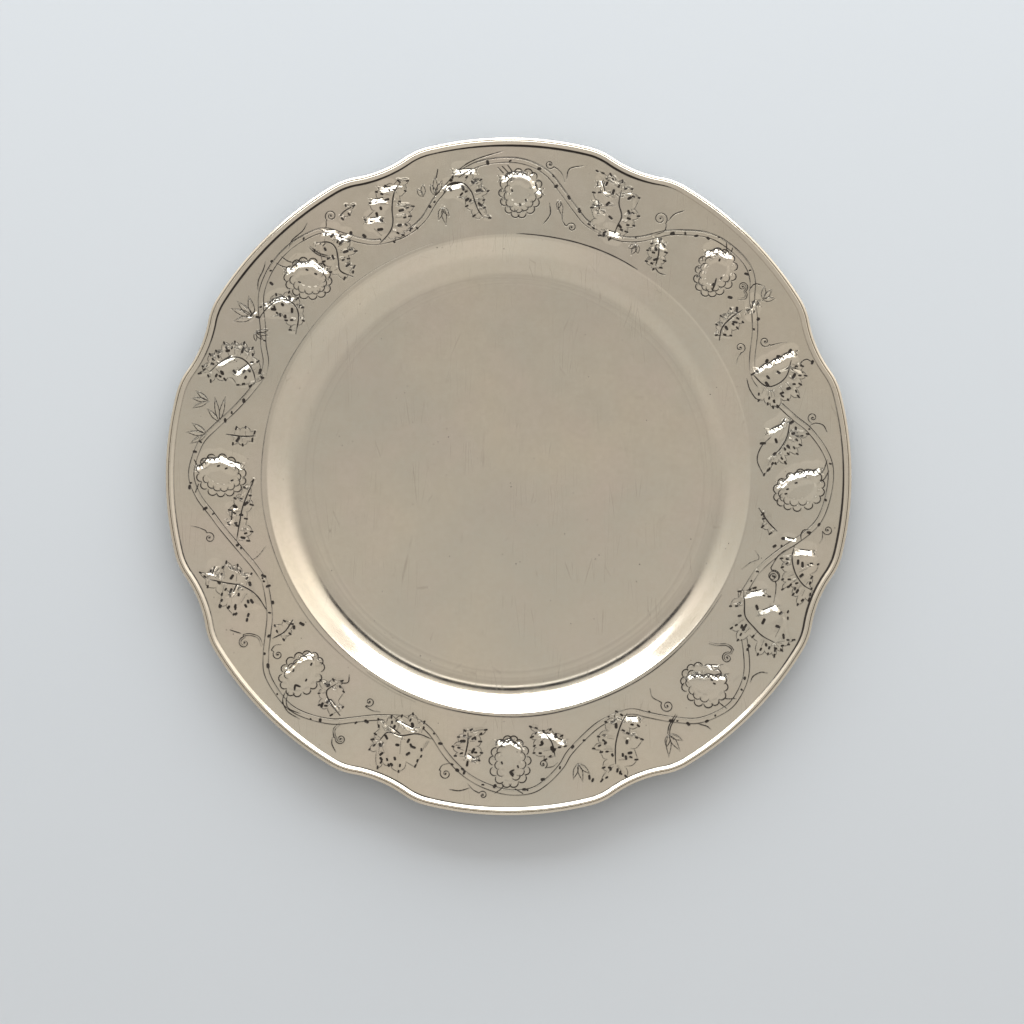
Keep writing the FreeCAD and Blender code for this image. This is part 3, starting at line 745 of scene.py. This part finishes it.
def group_315(border):
    """The bunch at 315 degrees with one broad leaf, three tendrils and a tall bud."""
    grapes(border, (312.4, 128), 17, 20, lean=-0.06, double=(0.05, 0.5),
           stem=[[(315, 142.5), (314, 140.3), (313.3, 138.3)], [(312.5, 142.8), (312.3, 140), (312.2, 138)]],
           glints=[[(316, 131.5), (314, 127), (311.5, 122)], [(316.6, 127), (315.6, 124.3)]])
    leaf(border, [(333, 117), (331, 119.5), (328.5, 123), (327.5, 129), (327, 134), (327.2, 140)],
         [(333.5, 138.5), (329.5, 147), (328.3, 146), (326.7, 145), (325, 143.5), (324.7, 140.5),
          (323.5, 137), (325.7, 130.5), (323.5, 126), (324.7, 120.5), (328.7, 114.8), (332.5, 114.8),
          (335, 121), (334.5, 128.5)],
         dashes=[(332.5, 135.8), (329.5, 131), (326.2, 125.3), (328, 120.7), (330, 137.5), (326, 137.5),
                 (331.3, 125.5), (329, 142)],
         glints=[[(332.8, 132), (331, 128.8)], [(334.3, 124), (333, 120.5)]],
         shade_blots=[[(326.8, 125.5), (326.2, 124)]])
    spiral(border, (304, 125.5), 2.4, [(303, 114.8), (302.4, 118.5), (303.2, 122)], turns=1.5)
    spiral(border, (338.5, 126), 2.3, [(333.8, 131), (335.8, 129.8), (337.3, 128.6)], sense=1, turns=1.5)
    spiral(border, (319.5, 127.3), 2.2, [(319.3, 117), (320, 120), (321.3, 123.5), (321.4, 126.5)],
           double=True)
    border.line([(322, 145.3), (321.4, 142.8), (320, 141.3), (318.8, 142)])
    border.line([(308, 145.3), (307.7, 142.8), (306.8, 140)])
    petals(border, (301.2, 136.3), [(302.8, 142), (301.4, 145.3), (299.2, 145), (299.6, 141)], width=1.1)
    border.double([(304.5, 131), (302.3, 133.5), (301.2, 136.3)], gap=0.8)
    border.dots((303, 132), (318.7, 139), (305.3, 137.3), (324, 131.5), (308.3, 141.3))


# ---------------------------------------------------------------- the sheet as one closed mesh

def soft_noise(x, y, seed, shortest, longest, waves=9):
    """A smooth field of about -1 to 1 from a few slanting waves; lengths in mm."""
    random = np.random.default_rng(seed)
    field = np.zeros(np.shape(x))
    for _ in range(waves):
        length = random.uniform(shortest, longest)
        way, start = random.uniform(0, 2 * math.pi, 2)
        field += np.sin(2 * math.pi / length * (x * math.cos(way) + y * math.sin(way)) + start)
    return field / math.sqrt(waves)


def planished(x, y):
    """The faint unevenness a hammer leaves over the whole sheet, in mm."""
    return 0.05 * soft_noise(x, y, 3, 40, 90) + 0.006 * soft_noise(x, y, 4, 9, 16)


def blur(field, reach):
    """The field averaged over a square of cells, wrapping round the salver."""
    out = field
    for axis in (0, 1):
        total = sum(np.roll(out, step, axis=axis) for step in range(-reach, reach + 1, 2))
        out = total / len(range(-reach, reach + 1, 2))
    return out


class Rings:
    """Rings of vertices laid one after another and sewn together."""

    def __init__(self):
        self.points, self.dark, self.counts, self.starts, self.total = [], [], [], [], 0

    def add(self, radius, height, dark=0.0, count=COLUMNS):
        """One ring; radius, height and dark are single values or one value per vertex."""
        angle = np.arange(count) * 2 * math.pi / count
        radius, height, dark = (np.broadcast_to(v, count) for v in (radius, height, dark))
        self.points.append(np.stack([radius * np.cos(angle), radius * np.sin(angle), height], 1))
        self.dark.append(dark)
        self.counts.append(count)
        self.starts.append(self.total)
        self.total += count

    def sewn(self):
        """Faces between neighbouring rings, whose counts are equal or differ by two times."""
        quads, tris = [], []
        pairs = zip(self.starts, self.counts, self.starts[1:], self.counts[1:])
        for low, low_count, high, high_count in pairs:
            small = min(low_count, high_count)
            here = np.arange(small)
            after = (here + 1) % small
            if low_count == high_count:
                quads.append(np.stack([low + here, low + after, high + after, high + here], 1))
                continue
            flip = low_count > high_count
            coarse, fine = (high, low) if flip else (low, high)
            a, b = coarse + here, coarse + after
            c, d, e = fine + 2 * here, fine + 2 * here + 1, fine + 2 * after
            made = [np.stack([a, d, c], 1), np.stack([a, b, d], 1), np.stack([b, e, d], 1)]
            tris += [face[:, ::-1] for face in made] if flip else made
        return quads, tris


def hollow_ring(radius, waver, seed, angle):
    """A circle whose radius wavers by up to about waver mm."""
    random = np.random.default_rng(seed)
    out = np.full(angle.shape, float(radius))
    for lobes in range(2, 9):
        out += waver / 2.6 * math.sqrt(2 / lobes) * np.sin(lobes * angle + random.uniform(0, 6.3))
    return out


def columns_at(radius):
    """How many vertices a ring of the well has."""
    steps = ((6, 45), (12, 90), (24, 180), (48, 360), (FLOOR_RADIUS - 3, 720))
    return next((count for reach, count in steps if radius < reach), HALF_COLUMNS)


def add_well(rings):
    """Floor of the well and the cavetto, from the middle outwards."""
    floor = list(np.arange(2.0, 85.0, 1.5)) + list(np.arange(85.0, FLOOR_RADIUS, 0.4))
    for radius, height in [(r, SHEET) for r in floor] + [tuple(p) for p in cavetto_section(0)[:-1]]:
        count = columns_at(radius)
        angle = np.arange(count) * 2 * math.pi / count
        x, y = radius * np.cos(angle), radius * np.sin(angle)
        lift = planished(x, y)
        dark = np.zeros(count)
        for line, seed in ((87.6, 21), (90.6, 22)):
            away = np.abs(radius - hollow_ring(line, 0.5, seed, angle))
            lift = lift - 0.035 * np.exp(-(away / 0.6) ** 2)
            dark = dark + 0.10 * np.exp(-(away / 0.45) ** 2)
        rings.add(radius, height + lift, dark, count)


def rim_foot_shade(angle):
    """How much painted shade lies along the foot of the rim wire: patchy, and least on the -Y side, where
    that foot faces the softbox.
    """
    shade_by_side = 0.80 + 0.20 * np.sin(angle)
    return np.clip(shade_by_side * hollow_ring(0.95, 1.1, 6, angle), 0.25, 1.3)


def add_border(rings, border):
    """The chased top of the border, out to the cut edge."""
    fade = 1 - np.linspace(0, 1, ROWS)[:, None] ** 10
    lift = planished(border.x, border.y) * fade
    foot = EDGE_WIRE_WIDTH + GROOVE_GAP + BEAD_WIDTH
    patchy = rim_foot_shade(border.angle)
    for row in range(ROWS):
        away = edge_radius(border.angle, foot) - border.radius[row]
        # Painted shade along the inner foot of the bead wire, patchy round the rim.
        foot_shade = patchy * np.exp(-((away - 0.05) / (0.36 * patchy)) ** 2)
        dark = np.maximum(border.dark[row], foot_shade)
        rings.add(border.radius[row], BORDER_TOP + lift[row] + border.height[row], dark)


def add_underside(rings, border):
    """Plain underside, with soft hollows behind the raised work."""
    hollow = blur(np.clip(border.height, 0, None), 8) * 0.8
    edge = edge_radius(border.angle[::2], SHEET_EDGE)
    rings.add(edge, BORDER_TOP - SHEET, count=HALF_COLUMNS)
    for row in range(ROWS - 3, -1, -3):
        height = BORDER_TOP - SHEET + hollow[row, ::2] * min(1.0, (ROWS - row) / 12)
        rings.add(border.radius[row, ::2], height, count=HALF_COLUMNS)
    for radius, height in cavetto_section(SHEET)[::-1][1:]:
        rings.add(radius, height, count=HALF_COLUMNS)
    for radius in np.arange(FLOOR_RADIUS - 1.5, 1.0, -2.0):
        count = min(720, columns_at(radius))
        rings.add(radius, UNDERSIDE_LIFT * max(0.0, 1 - (radius / STANDING_RADIUS) ** 2), count=count)


def mesh_object(name, points, dark, faces):
    """A smooth-shaded object from vertices in mm and lists of equal-sided face arrays."""
    mesh = bpy.data.meshes.new(name)
    corners = np.concatenate([face.ravel() for face in faces])
    sides = np.concatenate([np.full(len(face), face.shape[1]) for face in faces])
    mesh.vertices.add(len(points))
    mesh.vertices.foreach_set("co", (points * MM).astype(np.float32).ravel())
    mesh.loops.add(len(corners))
    mesh.loops.foreach_set("vertex_index", corners.astype(np.int32))
    mesh.polygons.add(len(sides))
    starts = np.concatenate([[0], np.cumsum(sides)[:-1]])
    mesh.polygons.foreach_set("loop_start", starts.astype(np.int32))
    mesh.update(calc_edges=True)
    mesh.shade_smooth()
    # Per-vertex darkening: patina in the chased lines, painted shade at the wires' feet and painted dark
    # reflections beside the raised work.
    tarnish_and_shade = mesh.attributes.new("tarnish_and_shade", "FLOAT", "POINT")
    tarnish_and_shade.data.foreach_set("value", np.clip(dark, 0, 1).astype(np.float32))
    mesh.validate()
    thing = bpy.data.objects.new(name, mesh)
    bpy.context.collection.objects.link(thing)
    return thing


def chase_border():
    """The border with all its ornament, and the scored lines along its inner crease."""
    border = Border()
    vine(border)
    for group in (group_0, group_45, group_90, group_135, group_180, group_225, group_270, group_315):
        group(border)
    for first, last, out, dark in ((58, 88, 0.35, 0.95), (108, 252, 1.5, 0.42), (235, 330, 0.4, 0.62)):
        crease = [(a, BORDER_START + out + 0.15 * math.sin(a * 0.21)) for a in range(first, last + 1, 5)]
        border.line(crease, width=0.3, depth=0.05, dark=dark)
    border.dark = np.maximum(border.dark, 0.45 * blur(border.dark, 9))
    over = np.clip(border.height - RELIEF_FREE, 0, None)
    border.height += RELIEF_EASE * np.tanh(over / RELIEF_EASE) - over
    return border


def make_sheet():
    """The whole sheet: top from the middle out, round the edge, and back underneath."""
    border = chase_border()
    rings = Rings()
    add_well(rings)
    add_border(rings, border)
    add_underside(rings, border)
    quads, tris = rings.sewn()
    first, last = rings.counts[0], rings.counts[-1]
    points = np.vstack(rings.points + [[[0, 0, SHEET]], [[0, 0, UNDERSIDE_LIFT]]])
    dark = np.concatenate(rings.dark + [[0, 0]])
    here = np.arange(first)
    tris.append(np.stack([np.full(first, rings.total), here, (here + 1) % first], 1))
    here = np.arange(last)
    start = rings.starts[-1]
    tris.append(np.stack([np.full(last, rings.total + 1), start + (here + 1) % last, start + here], 1))
    quads = [face[:, ::-1] for face in quads]
    tris = [face[:, ::-1] for face in tris[:-2]] + tris[-2:]
    return mesh_object("chased_sheet", points, dark, quads + tris)


def make_wire(name, inset, section, feet, seed):
    """A closed wire along the lobed line; section points are (outward, up) mm from the border's top.

    feet gives the share of the rim's painted shade that each section point takes."""
    angle = np.arange(HALF_COLUMNS) * 2 * math.pi / HALF_COLUMNS
    waver = hollow_ring(0.0, 0.03, seed, angle)
    rings = Rings()
    for (out, up), foot in zip(section, feet):
        radius = edge_radius(angle, inset - out) + waver * (up > 0)
        # Painted shade along the wire's feet, patchy round the rim and least on the -Y side.
        rings.add(radius, BORDER_TOP + up, foot * rim_foot_shade(angle), HALF_COLUMNS)
    quads, _ = rings.sewn()
    here = np.arange(HALF_COLUMNS)
    after = (here + 1) % HALF_COLUMNS
    last = rings.starts[-1]
    quads.append(np.stack([last + here, last + after, after, here], 1))
    quads = [face[:, ::-1] for face in quads]
    return mesh_object(name, np.vstack(rings.points), np.concatenate(rings.dark), quads)


def make_bead():
    """Moulded wire: a bevel facing inwards up to a round crest, with painted shade at both feet."""
    inner = BEAD_WIDTH - BEAD_CREST
    rise = BEAD_STAND - BEAD_CREST
    slope = math.atan2(rise, inner) + math.asin(BEAD_CREST / math.hypot(inner, rise))
    turns = np.linspace(math.pi / 2 + slope, 0, 14)
    crest = [(BEAD_CREST * math.cos(t), rise + BEAD_CREST * math.sin(t)) for t in turns]
    bevel = [(-inner + (crest[0][0] + inner) * t, crest[0][1] * t) for t in (0, 0.1, 0.2, 0.3, 0.45, 0.7)]
    section = bevel + crest + [(BEAD_CREST, 0.25), (BEAD_CREST, 0)]
    # Painted shade at the inner foot of the bevel, and down the outer side into the groove by the edge wire.
    feet = [1.1, 1.0, 0.9, 0.5] + [0.0] * (len(section) - 10) + [0.1, 0.25, 0.35, 0.45, 0.7, 1.0]
    return make_wire("bead_wire", EDGE_WIRE_WIDTH + GROOVE_GAP + BEAD_CREST, section, feet, 5)


def make_edge_wire():
    """Thin wire round the cut edge: its top slopes outwards, its corners are round."""
    half, corner = EDGE_WIRE_WIDTH / 2, EDGE_WIRE_CORNER
    crest = (corner - half, EDGE_WIRE_STAND - corner)
    shoulder = (half - corner, EDGE_WIRE_SHOULDER)
    heel = (half - corner, corner - SHEET)
    fall = math.atan2(crest[1] - shoulder[1], shoulder[0] - crest[0])

    def bend(centre, first, last):
        """Points round one rounded corner."""
        return [(centre[0] + corner * math.cos(t), centre[1] + corner * math.sin(t))
                for t in np.linspace(first, last, 8)]

    inside = [(-half, -SHEET), (-half, -0.02), (-half, 0.2)]
    above = bend(crest, math.pi, math.pi / 2 - fall) + bend(shoulder, math.pi / 2 - fall, 0)
    section = inside + above + bend(heel, 0, -math.pi / 2)
    # Painted shade on the inner face, down in the groove beside the bead.
    feet = [0.6 if out <= -half and up < 0.3 else 0.0 for out, up in section]
    return make_wire("edge_wire", half, section, feet, 8)


# ---------------------------------------------------------------- materials

class Nodes:
    """Short names for building one material's node tree."""

    def __init__(self, name):
        self.material = bpy.data.materials.new(name)
        self.material.use_nodes = True
        self.tree = self.material.node_tree
        self.shader = self.tree.nodes["Principled BSDF"]
        self.place = self.tree.nodes.new("ShaderNodeTexCoord").outputs["Object"]

    def node(self, kind, links=None, **settings):
        """A new node; links go into its inputs, and settings set its inputs or its own properties."""
        made = self.tree.nodes.new(kind)
        for key, value in settings.items():
            if key in made.inputs:
                made.inputs[key].default_value = value
            else:
                setattr(made, key, value)
        for key, source in (links or {}).items():
            self.tree.links.new(source, made.inputs[key])
        return made

    def noise(self, scale, detail=3.0, roughness=0.5):
        """Cloudy noise fixed to the object."""
        made = self.node("ShaderNodeTexNoise", {"Vector": self.place}, Scale=scale, Detail=detail,
                         Roughness=roughness)
        return made.outputs["Fac"]

    def span(self, value, low, high, to_low=0.0, to_high=1.0):
        """The value mapped from one range to another and held inside it."""
        made = self.node("ShaderNodeMapRange", {"Value": value}, clamp=True)
        for key, number in (("From Min", low), ("From Max", high), ("To Min", to_low), ("To Max", to_high)):
            made.inputs[key].default_value = number
        return made.outputs["Result"]

    def math(self, operation, a, b):
        """One sum on two sockets or numbers."""
        made = self.node("ShaderNodeMath", operation=operation)
        for slot, value in zip(made.inputs, (a, b)):
            if isinstance(value, (int, float)):
                slot.default_value = value
            else:
                self.tree.links.new(value, slot)
        return made.outputs[0]

    def mix(self, factor, a, b):
        """Colour a turning into colour b as the factor goes from 0 to 1."""
        made = self.node("ShaderNodeMix", data_type="RGBA")
        for name, value in (("Factor", factor), ("A", a), ("B", b)):
            slot = next(s for s in made.inputs
                        if s.name == name and s.type in ("VALUE", "RGBA") and s.enabled)
            if isinstance(value, (tuple, float, int)):
                slot.default_value = value if not isinstance(value, tuple) else value + (1.0,)
            else:
                self.tree.links.new(value, slot)
        return next(s for s in made.outputs if s.type == "RGBA" and s.enabled)

    def scratches(self, turn, scale, width):
        """Sparse hair-thin straight marks running one way."""
        mapped = self.node("ShaderNodeMapping", {"Vector": self.place})
        mapped.inputs["Rotation"].default_value = (0, 0, math.radians(turn))
        mapped.inputs["Scale"].default_value = (scale, scale * 0.06, scale * 0.3)
        cells = self.node("ShaderNodeTexVoronoi", {"Vector": mapped.outputs["Vector"]},
                          feature="DISTANCE_TO_EDGE", Scale=1.0)
        return self.span(cells.outputs["Distance"], 0.0, width, 1.0, 0.0)


def silver(name, tint, dull, wear):
    """Old silver: a mottled tint, fine scratches and specks, and darkening where the mesh says so: patina in
    the chased lines, with painted shade at the wires' feet and painted dark reflections beside the raised
    work.

    tint is a warm, a cool and a rosy colour."""
    m = Nodes(name)
    warm, cool, rosy = tint
    patches = m.span(m.noise(13.0, 4.0, 0.55), 0.36, 0.64)
    blush = m.span(m.noise(34.0, 3.0, 0.5), 0.45, 0.72)
    clouds = m.span(m.noise(7.0, 5.0, 0.6), 0.40, 0.62)
    grain = m.span(m.noise(420.0, 3.0, 0.6), 0.3, 0.7, 0.0, 0.35)
    colour = m.mix(patches, warm, cool)
    colour = m.mix(m.math("MULTIPLY", blush, 0.7), colour, rosy)
    colour = m.mix(m.math("MULTIPLY", clouds, 0.55), colour, tuple(0.88 * c for c in cool))
    colour = m.mix(grain, colour, tuple(0.86 * c for c in warm))
    marks = m.math("MAXIMUM", m.scratches(24, 210, 0.012), m.scratches(-57, 160, 0.010))
    gaps = m.span(m.noise(60.0, 2.0), 0.52, 0.66)
    marks = m.math("MULTIPLY", marks, gaps)
    colour = m.mix(m.math("MULTIPLY", marks, 0.5 * wear), colour, tuple(0.55 * c for c in warm))
    pits = m.node("ShaderNodeTexVoronoi", {"Vector": m.place}, Scale=330.0, Randomness=1.0)
    speck = m.math("MULTIPLY", m.span(pits.outputs["Distance"], 0.06, 0.14, 1.0, 0.0),
                   m.span(m.noise(95.0, 2.0), 0.60, 0.68))
    # Darkening from the mesh: patina in the chased lines, painted shade at the wires' feet and painted dark
    # reflections beside the raised work; all of it makes the silver dark and dull.
    tarnish_and_shade = m.node("ShaderNodeAttribute", attribute_name="tarnish_and_shade").outputs["Fac"]
    uneven = m.span(m.noise(520.0, 3.0, 0.6), 0.25, 0.7, 0.75, 1.0)
    line = m.span(m.math("MULTIPLY", tarnish_and_shade, uneven), 0.22, 0.62)
    stain_and_shade = m.math("MAXIMUM", line, m.span(tarnish_and_shade, 0.0, 0.4, 0.0, 0.16))
    stain_and_shade = m.math("MAXIMUM", stain_and_shade, m.math("MULTIPLY", speck, 0.75 * wear))
    colour = m.mix(stain_and_shade, colour, (0.030, 0.022, 0.016))
    m.tree.links.new(colour, m.shader.inputs["Base Color"])
    rough = m.span(m.noise(130.0, 4.0, 0.6), 0.3, 0.7, dull * 0.8, dull * 1.25)
    rough = m.math("ADD", rough, m.math("MULTIPLY", stain_and_shade, 0.4))
    rough = m.math("ADD", rough, m.math("MULTIPLY", marks, 0.12))
    m.tree.links.new(rough, m.shader.inputs["Roughness"])
    m.tree.links.new(m.span(stain_and_shade, 0.3, 0.9, 1.0, 0.25), m.shader.inputs["Metallic"])
    bump = m.node("ShaderNodeBump", {"Height": m.math("SUBTRACT", m.noise(300.0, 2.0), marks)}, Strength=0.05,
                  Distance=0.0002)
    m.tree.links.new(bump.outputs["Normal"], m.shader.inputs["Normal"])
    return m.material


# ---------------------------------------------------------------- stage

def studio_object(name, corners, faces):
    """A mesh that belongs to the studio and not to the salver."""
    mesh = bpy.data.meshes.new(name)
    mesh.from_pydata(corners, [], faces)
    thing = bpy.data.objects.new(name, mesh)
    bpy.context.collection.objects.link(thing)
    return thing


def make_floor():
    """A plain pale floor just below the salver."""
    size = 3.0
    corners = [(-size, -size, 0), (size, -size, 0), (size, size, 0), (-size, size, 0)]
    floor = studio_object("floor", corners, [(0, 1, 2, 3)])
    floor.location.z = CAD_LOW.z - 0.0005
    m = Nodes("pale_floor")
    colour = m.mix(m.noise(3.0), (0.70, 0.74, 0.78), (0.73, 0.765, 0.80))
    m.tree.links.new(colour, m.shader.inputs["Base Color"])
    m.shader.inputs["Roughness"].default_value = 0.9
    floor.data.materials.append(m.material)


def aimed(zenith, bearing):
    """Unit vector from the salver, given its angle from straight up and its bearing from +Y towards +X."""
    away, turn = math.radians(zenith), math.radians(bearing)
    return Vector((math.sin(turn) * math.sin(away), math.cos(turn) * math.sin(away), math.cos(away)))


def panel(name, zenith, distance, width, height, energy, colour=(1, 1, 1)):
    """A soft rectangular light towards +Y, facing the salver; zenith is its angle from straight up."""
    way = aimed(zenith, 0)
    light = bpy.data.lights.new(name, "AREA")
    light.shape = "RECTANGLE"
    light.size, light.size_y = width, height
    light.energy = energy
    light.color = colour
    lamp = bpy.data.objects.new(name, light)
    lamp.location = way * distance
    lamp.rotation_mode = "QUATERNION"
    lamp.rotation_quaternion = way.to_track_quat("Z", "Y")
    lamp.visible_camera = False
    bpy.context.collection.objects.link(lamp)


def make_flag():
    """The black hood along the top of the softbox, seen only as a dark line in the silver."""
    distance = 1.6
    bearings = (-44, -22, 0, 22, 44)
    corners = [aimed(zenith, bearing) * distance for zenith in (30, 40.5) for bearing in bearings]
    steps = len(bearings)
    faces = [(i, i + 1, steps + i + 1, steps + i) for i in range(steps - 1)]
    flag = studio_object("flag", corners, faces)
    flag.visible_camera = False
    flag.visible_diffuse = False
    flag.visible_shadow = False
    m = Nodes("black_cloth")
    colour = m.mix(m.noise(40.0), (0.012, 0.014, 0.02), (0.02, 0.022, 0.03))
    m.tree.links.new(colour, m.shader.inputs["Base Color"])
    m.shader.inputs["Roughness"].default_value = 1.0
    m.shader.inputs["Specular IOR Level"].default_value = 0.0
    flag.data.materials.append(m.material)


def make_surround():
    """Ceiling and pale walls of the studio: dimmer overhead, and brighter towards the horizon.

    brightness is that of each wall beside the ceiling, by its bearing from +Y towards +X.
    Overhead the light falls off evenly towards +Y."""
    brightness = ((0, 1.2), (45, 2.7), (65, 1.7), (90, 1.15), (135, 1.25), (180, 1.36), (225, 1.02),
                  (270, 1.05), (300, 1.35), (315, 2.1))
    bearings = np.arange(0, 360, 15)
    bright = np.interp(bearings, *zip(*brightness), period=360)
    zeniths = (1, 6, 12, 24, 38, 50, 62, 76, 92)
    wall = (0.0, 0.0, 0.0, 0.0, 0.25, 0.65, 0.95, 1.0, 1.0)
    overhead = (1.0, 1.0, 1.0, 1.0, 0.6, 0.0, 0.0, 0.0, 0.0)
    mirrored, fall_per_degree = 8.9, 0.024
    levels = []
    for zenith, wall_share, fall_share in zip(zeniths, wall, overhead):
        fall = mirrored - np.clip(zenith * np.cos(np.radians(bearings)), 3, 13)
        levels.append(1 + (bright - 1) * wall_share + fall_per_degree * fall_share * fall)
    corners = [aimed(zenith, bearing) * 2.1 for zenith in zeniths for bearing in bearings]
    across = len(bearings)
    faces = [(row * across + i, row * across + (i + 1) % across,
              (row + 1) * across + (i + 1) % across, (row + 1) * across + i)
             for row in range(len(zeniths) - 1) for i in range(across)]
    walls = studio_object("surround", corners, faces)
    glow = walls.data.attributes.new("glow", "FLOAT", "POINT")
    glow.data.foreach_set("value", np.concatenate(levels))
    walls.visible_camera = False
    walls.visible_shadow = False
    m = Nodes("pale_walls")
    level = m.node("ShaderNodeAttribute", attribute_name="glow").outputs["Fac"]
    colour = m.mix(m.noise(1.5), (1.0, 0.955, 0.90), (1.0, 0.965, 0.92))
    m.tree.links.new(colour, m.shader.inputs["Emission Color"])
    m.tree.links.new(m.math("MULTIPLY", level, CEILING), m.shader.inputs["Emission Strength"])
    m.shader.inputs["Base Color"].default_value = (0, 0, 0, 1)
    m.shader.inputs["Specular IOR Level"].default_value = 0.0
    walls.data.materials.append(m.material)


def make_light():
    """An even ceiling all round, the softbox with its hood, and the walls."""
    world = bpy.data.worlds.new("studio")
    bpy.context.scene.world = world
    world.use_nodes = True
    sky = world.node_tree.nodes["Background"]
    sky.inputs["Color"].default_value = (1.0, 0.96, 0.91, 1)
    sky.inputs["Strength"].default_value = CEILING
    panel("softbox", zenith=72, distance=1.7, width=3.9, height=1.05, energy=58, colour=(0.90, 0.955, 1.0))
    panel("hood_edge", zenith=25.5, distance=1.6, width=0.62, height=0.15, energy=0.3)
    make_surround()
    make_flag()


def make_camera():
    """Long lens over the -Y side, looking almost straight down."""
    distance, view_width = 2.4, 0.4548
    elevation = math.radians(81.5)
    data = bpy.data.cameras.new("camera")
    data.sensor_width = 36.0
    data.lens = data.sensor_width * distance / view_width
    camera = bpy.data.objects.new("camera", data)
    aim = Vector((0.0015, -0.01757, CAD_HIGH.z))
    back = Vector((0, -math.cos(elevation), math.sin(elevation)))
    camera.location = aim + back * distance
    camera.rotation_mode = "QUATERNION"
    camera.rotation_quaternion = (-back).to_track_quat("-Z", "Y")
    bpy.context.collection.objects.link(camera)
    bpy.context.scene.camera = camera


def main():
    """Build the three pieces on their CAD nodes, then the studio round them."""
    worn_tint = ((0.885, 0.79, 0.635), (0.835, 0.785, 0.665), (0.90, 0.775, 0.665))
    bright_tint = ((0.88, 0.79, 0.65), (0.86, 0.795, 0.67), (0.90, 0.79, 0.67))
    worn = silver("chased_silver", worn_tint, dull=0.15, wear=1.0)
    bright = silver("wire_silver", bright_tint, dull=0.12, wear=0.6)
    pieces = [(make_sheet(), "plate_body", "chased_silver", worn),
              (make_bead(), "rim_bead", "bright_silver", bright),
              (make_edge_wire(), "rim_edge_wire", "bright_silver", bright)]
    for thing, node, slot, material in pieces:
        thing.data.materials.append(material)
        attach(thing, "root")
        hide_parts(node)
    make_floor()
    make_light()
    make_camera()
    bpy.context.scene.view_settings.view_transform = "Standard"


main()
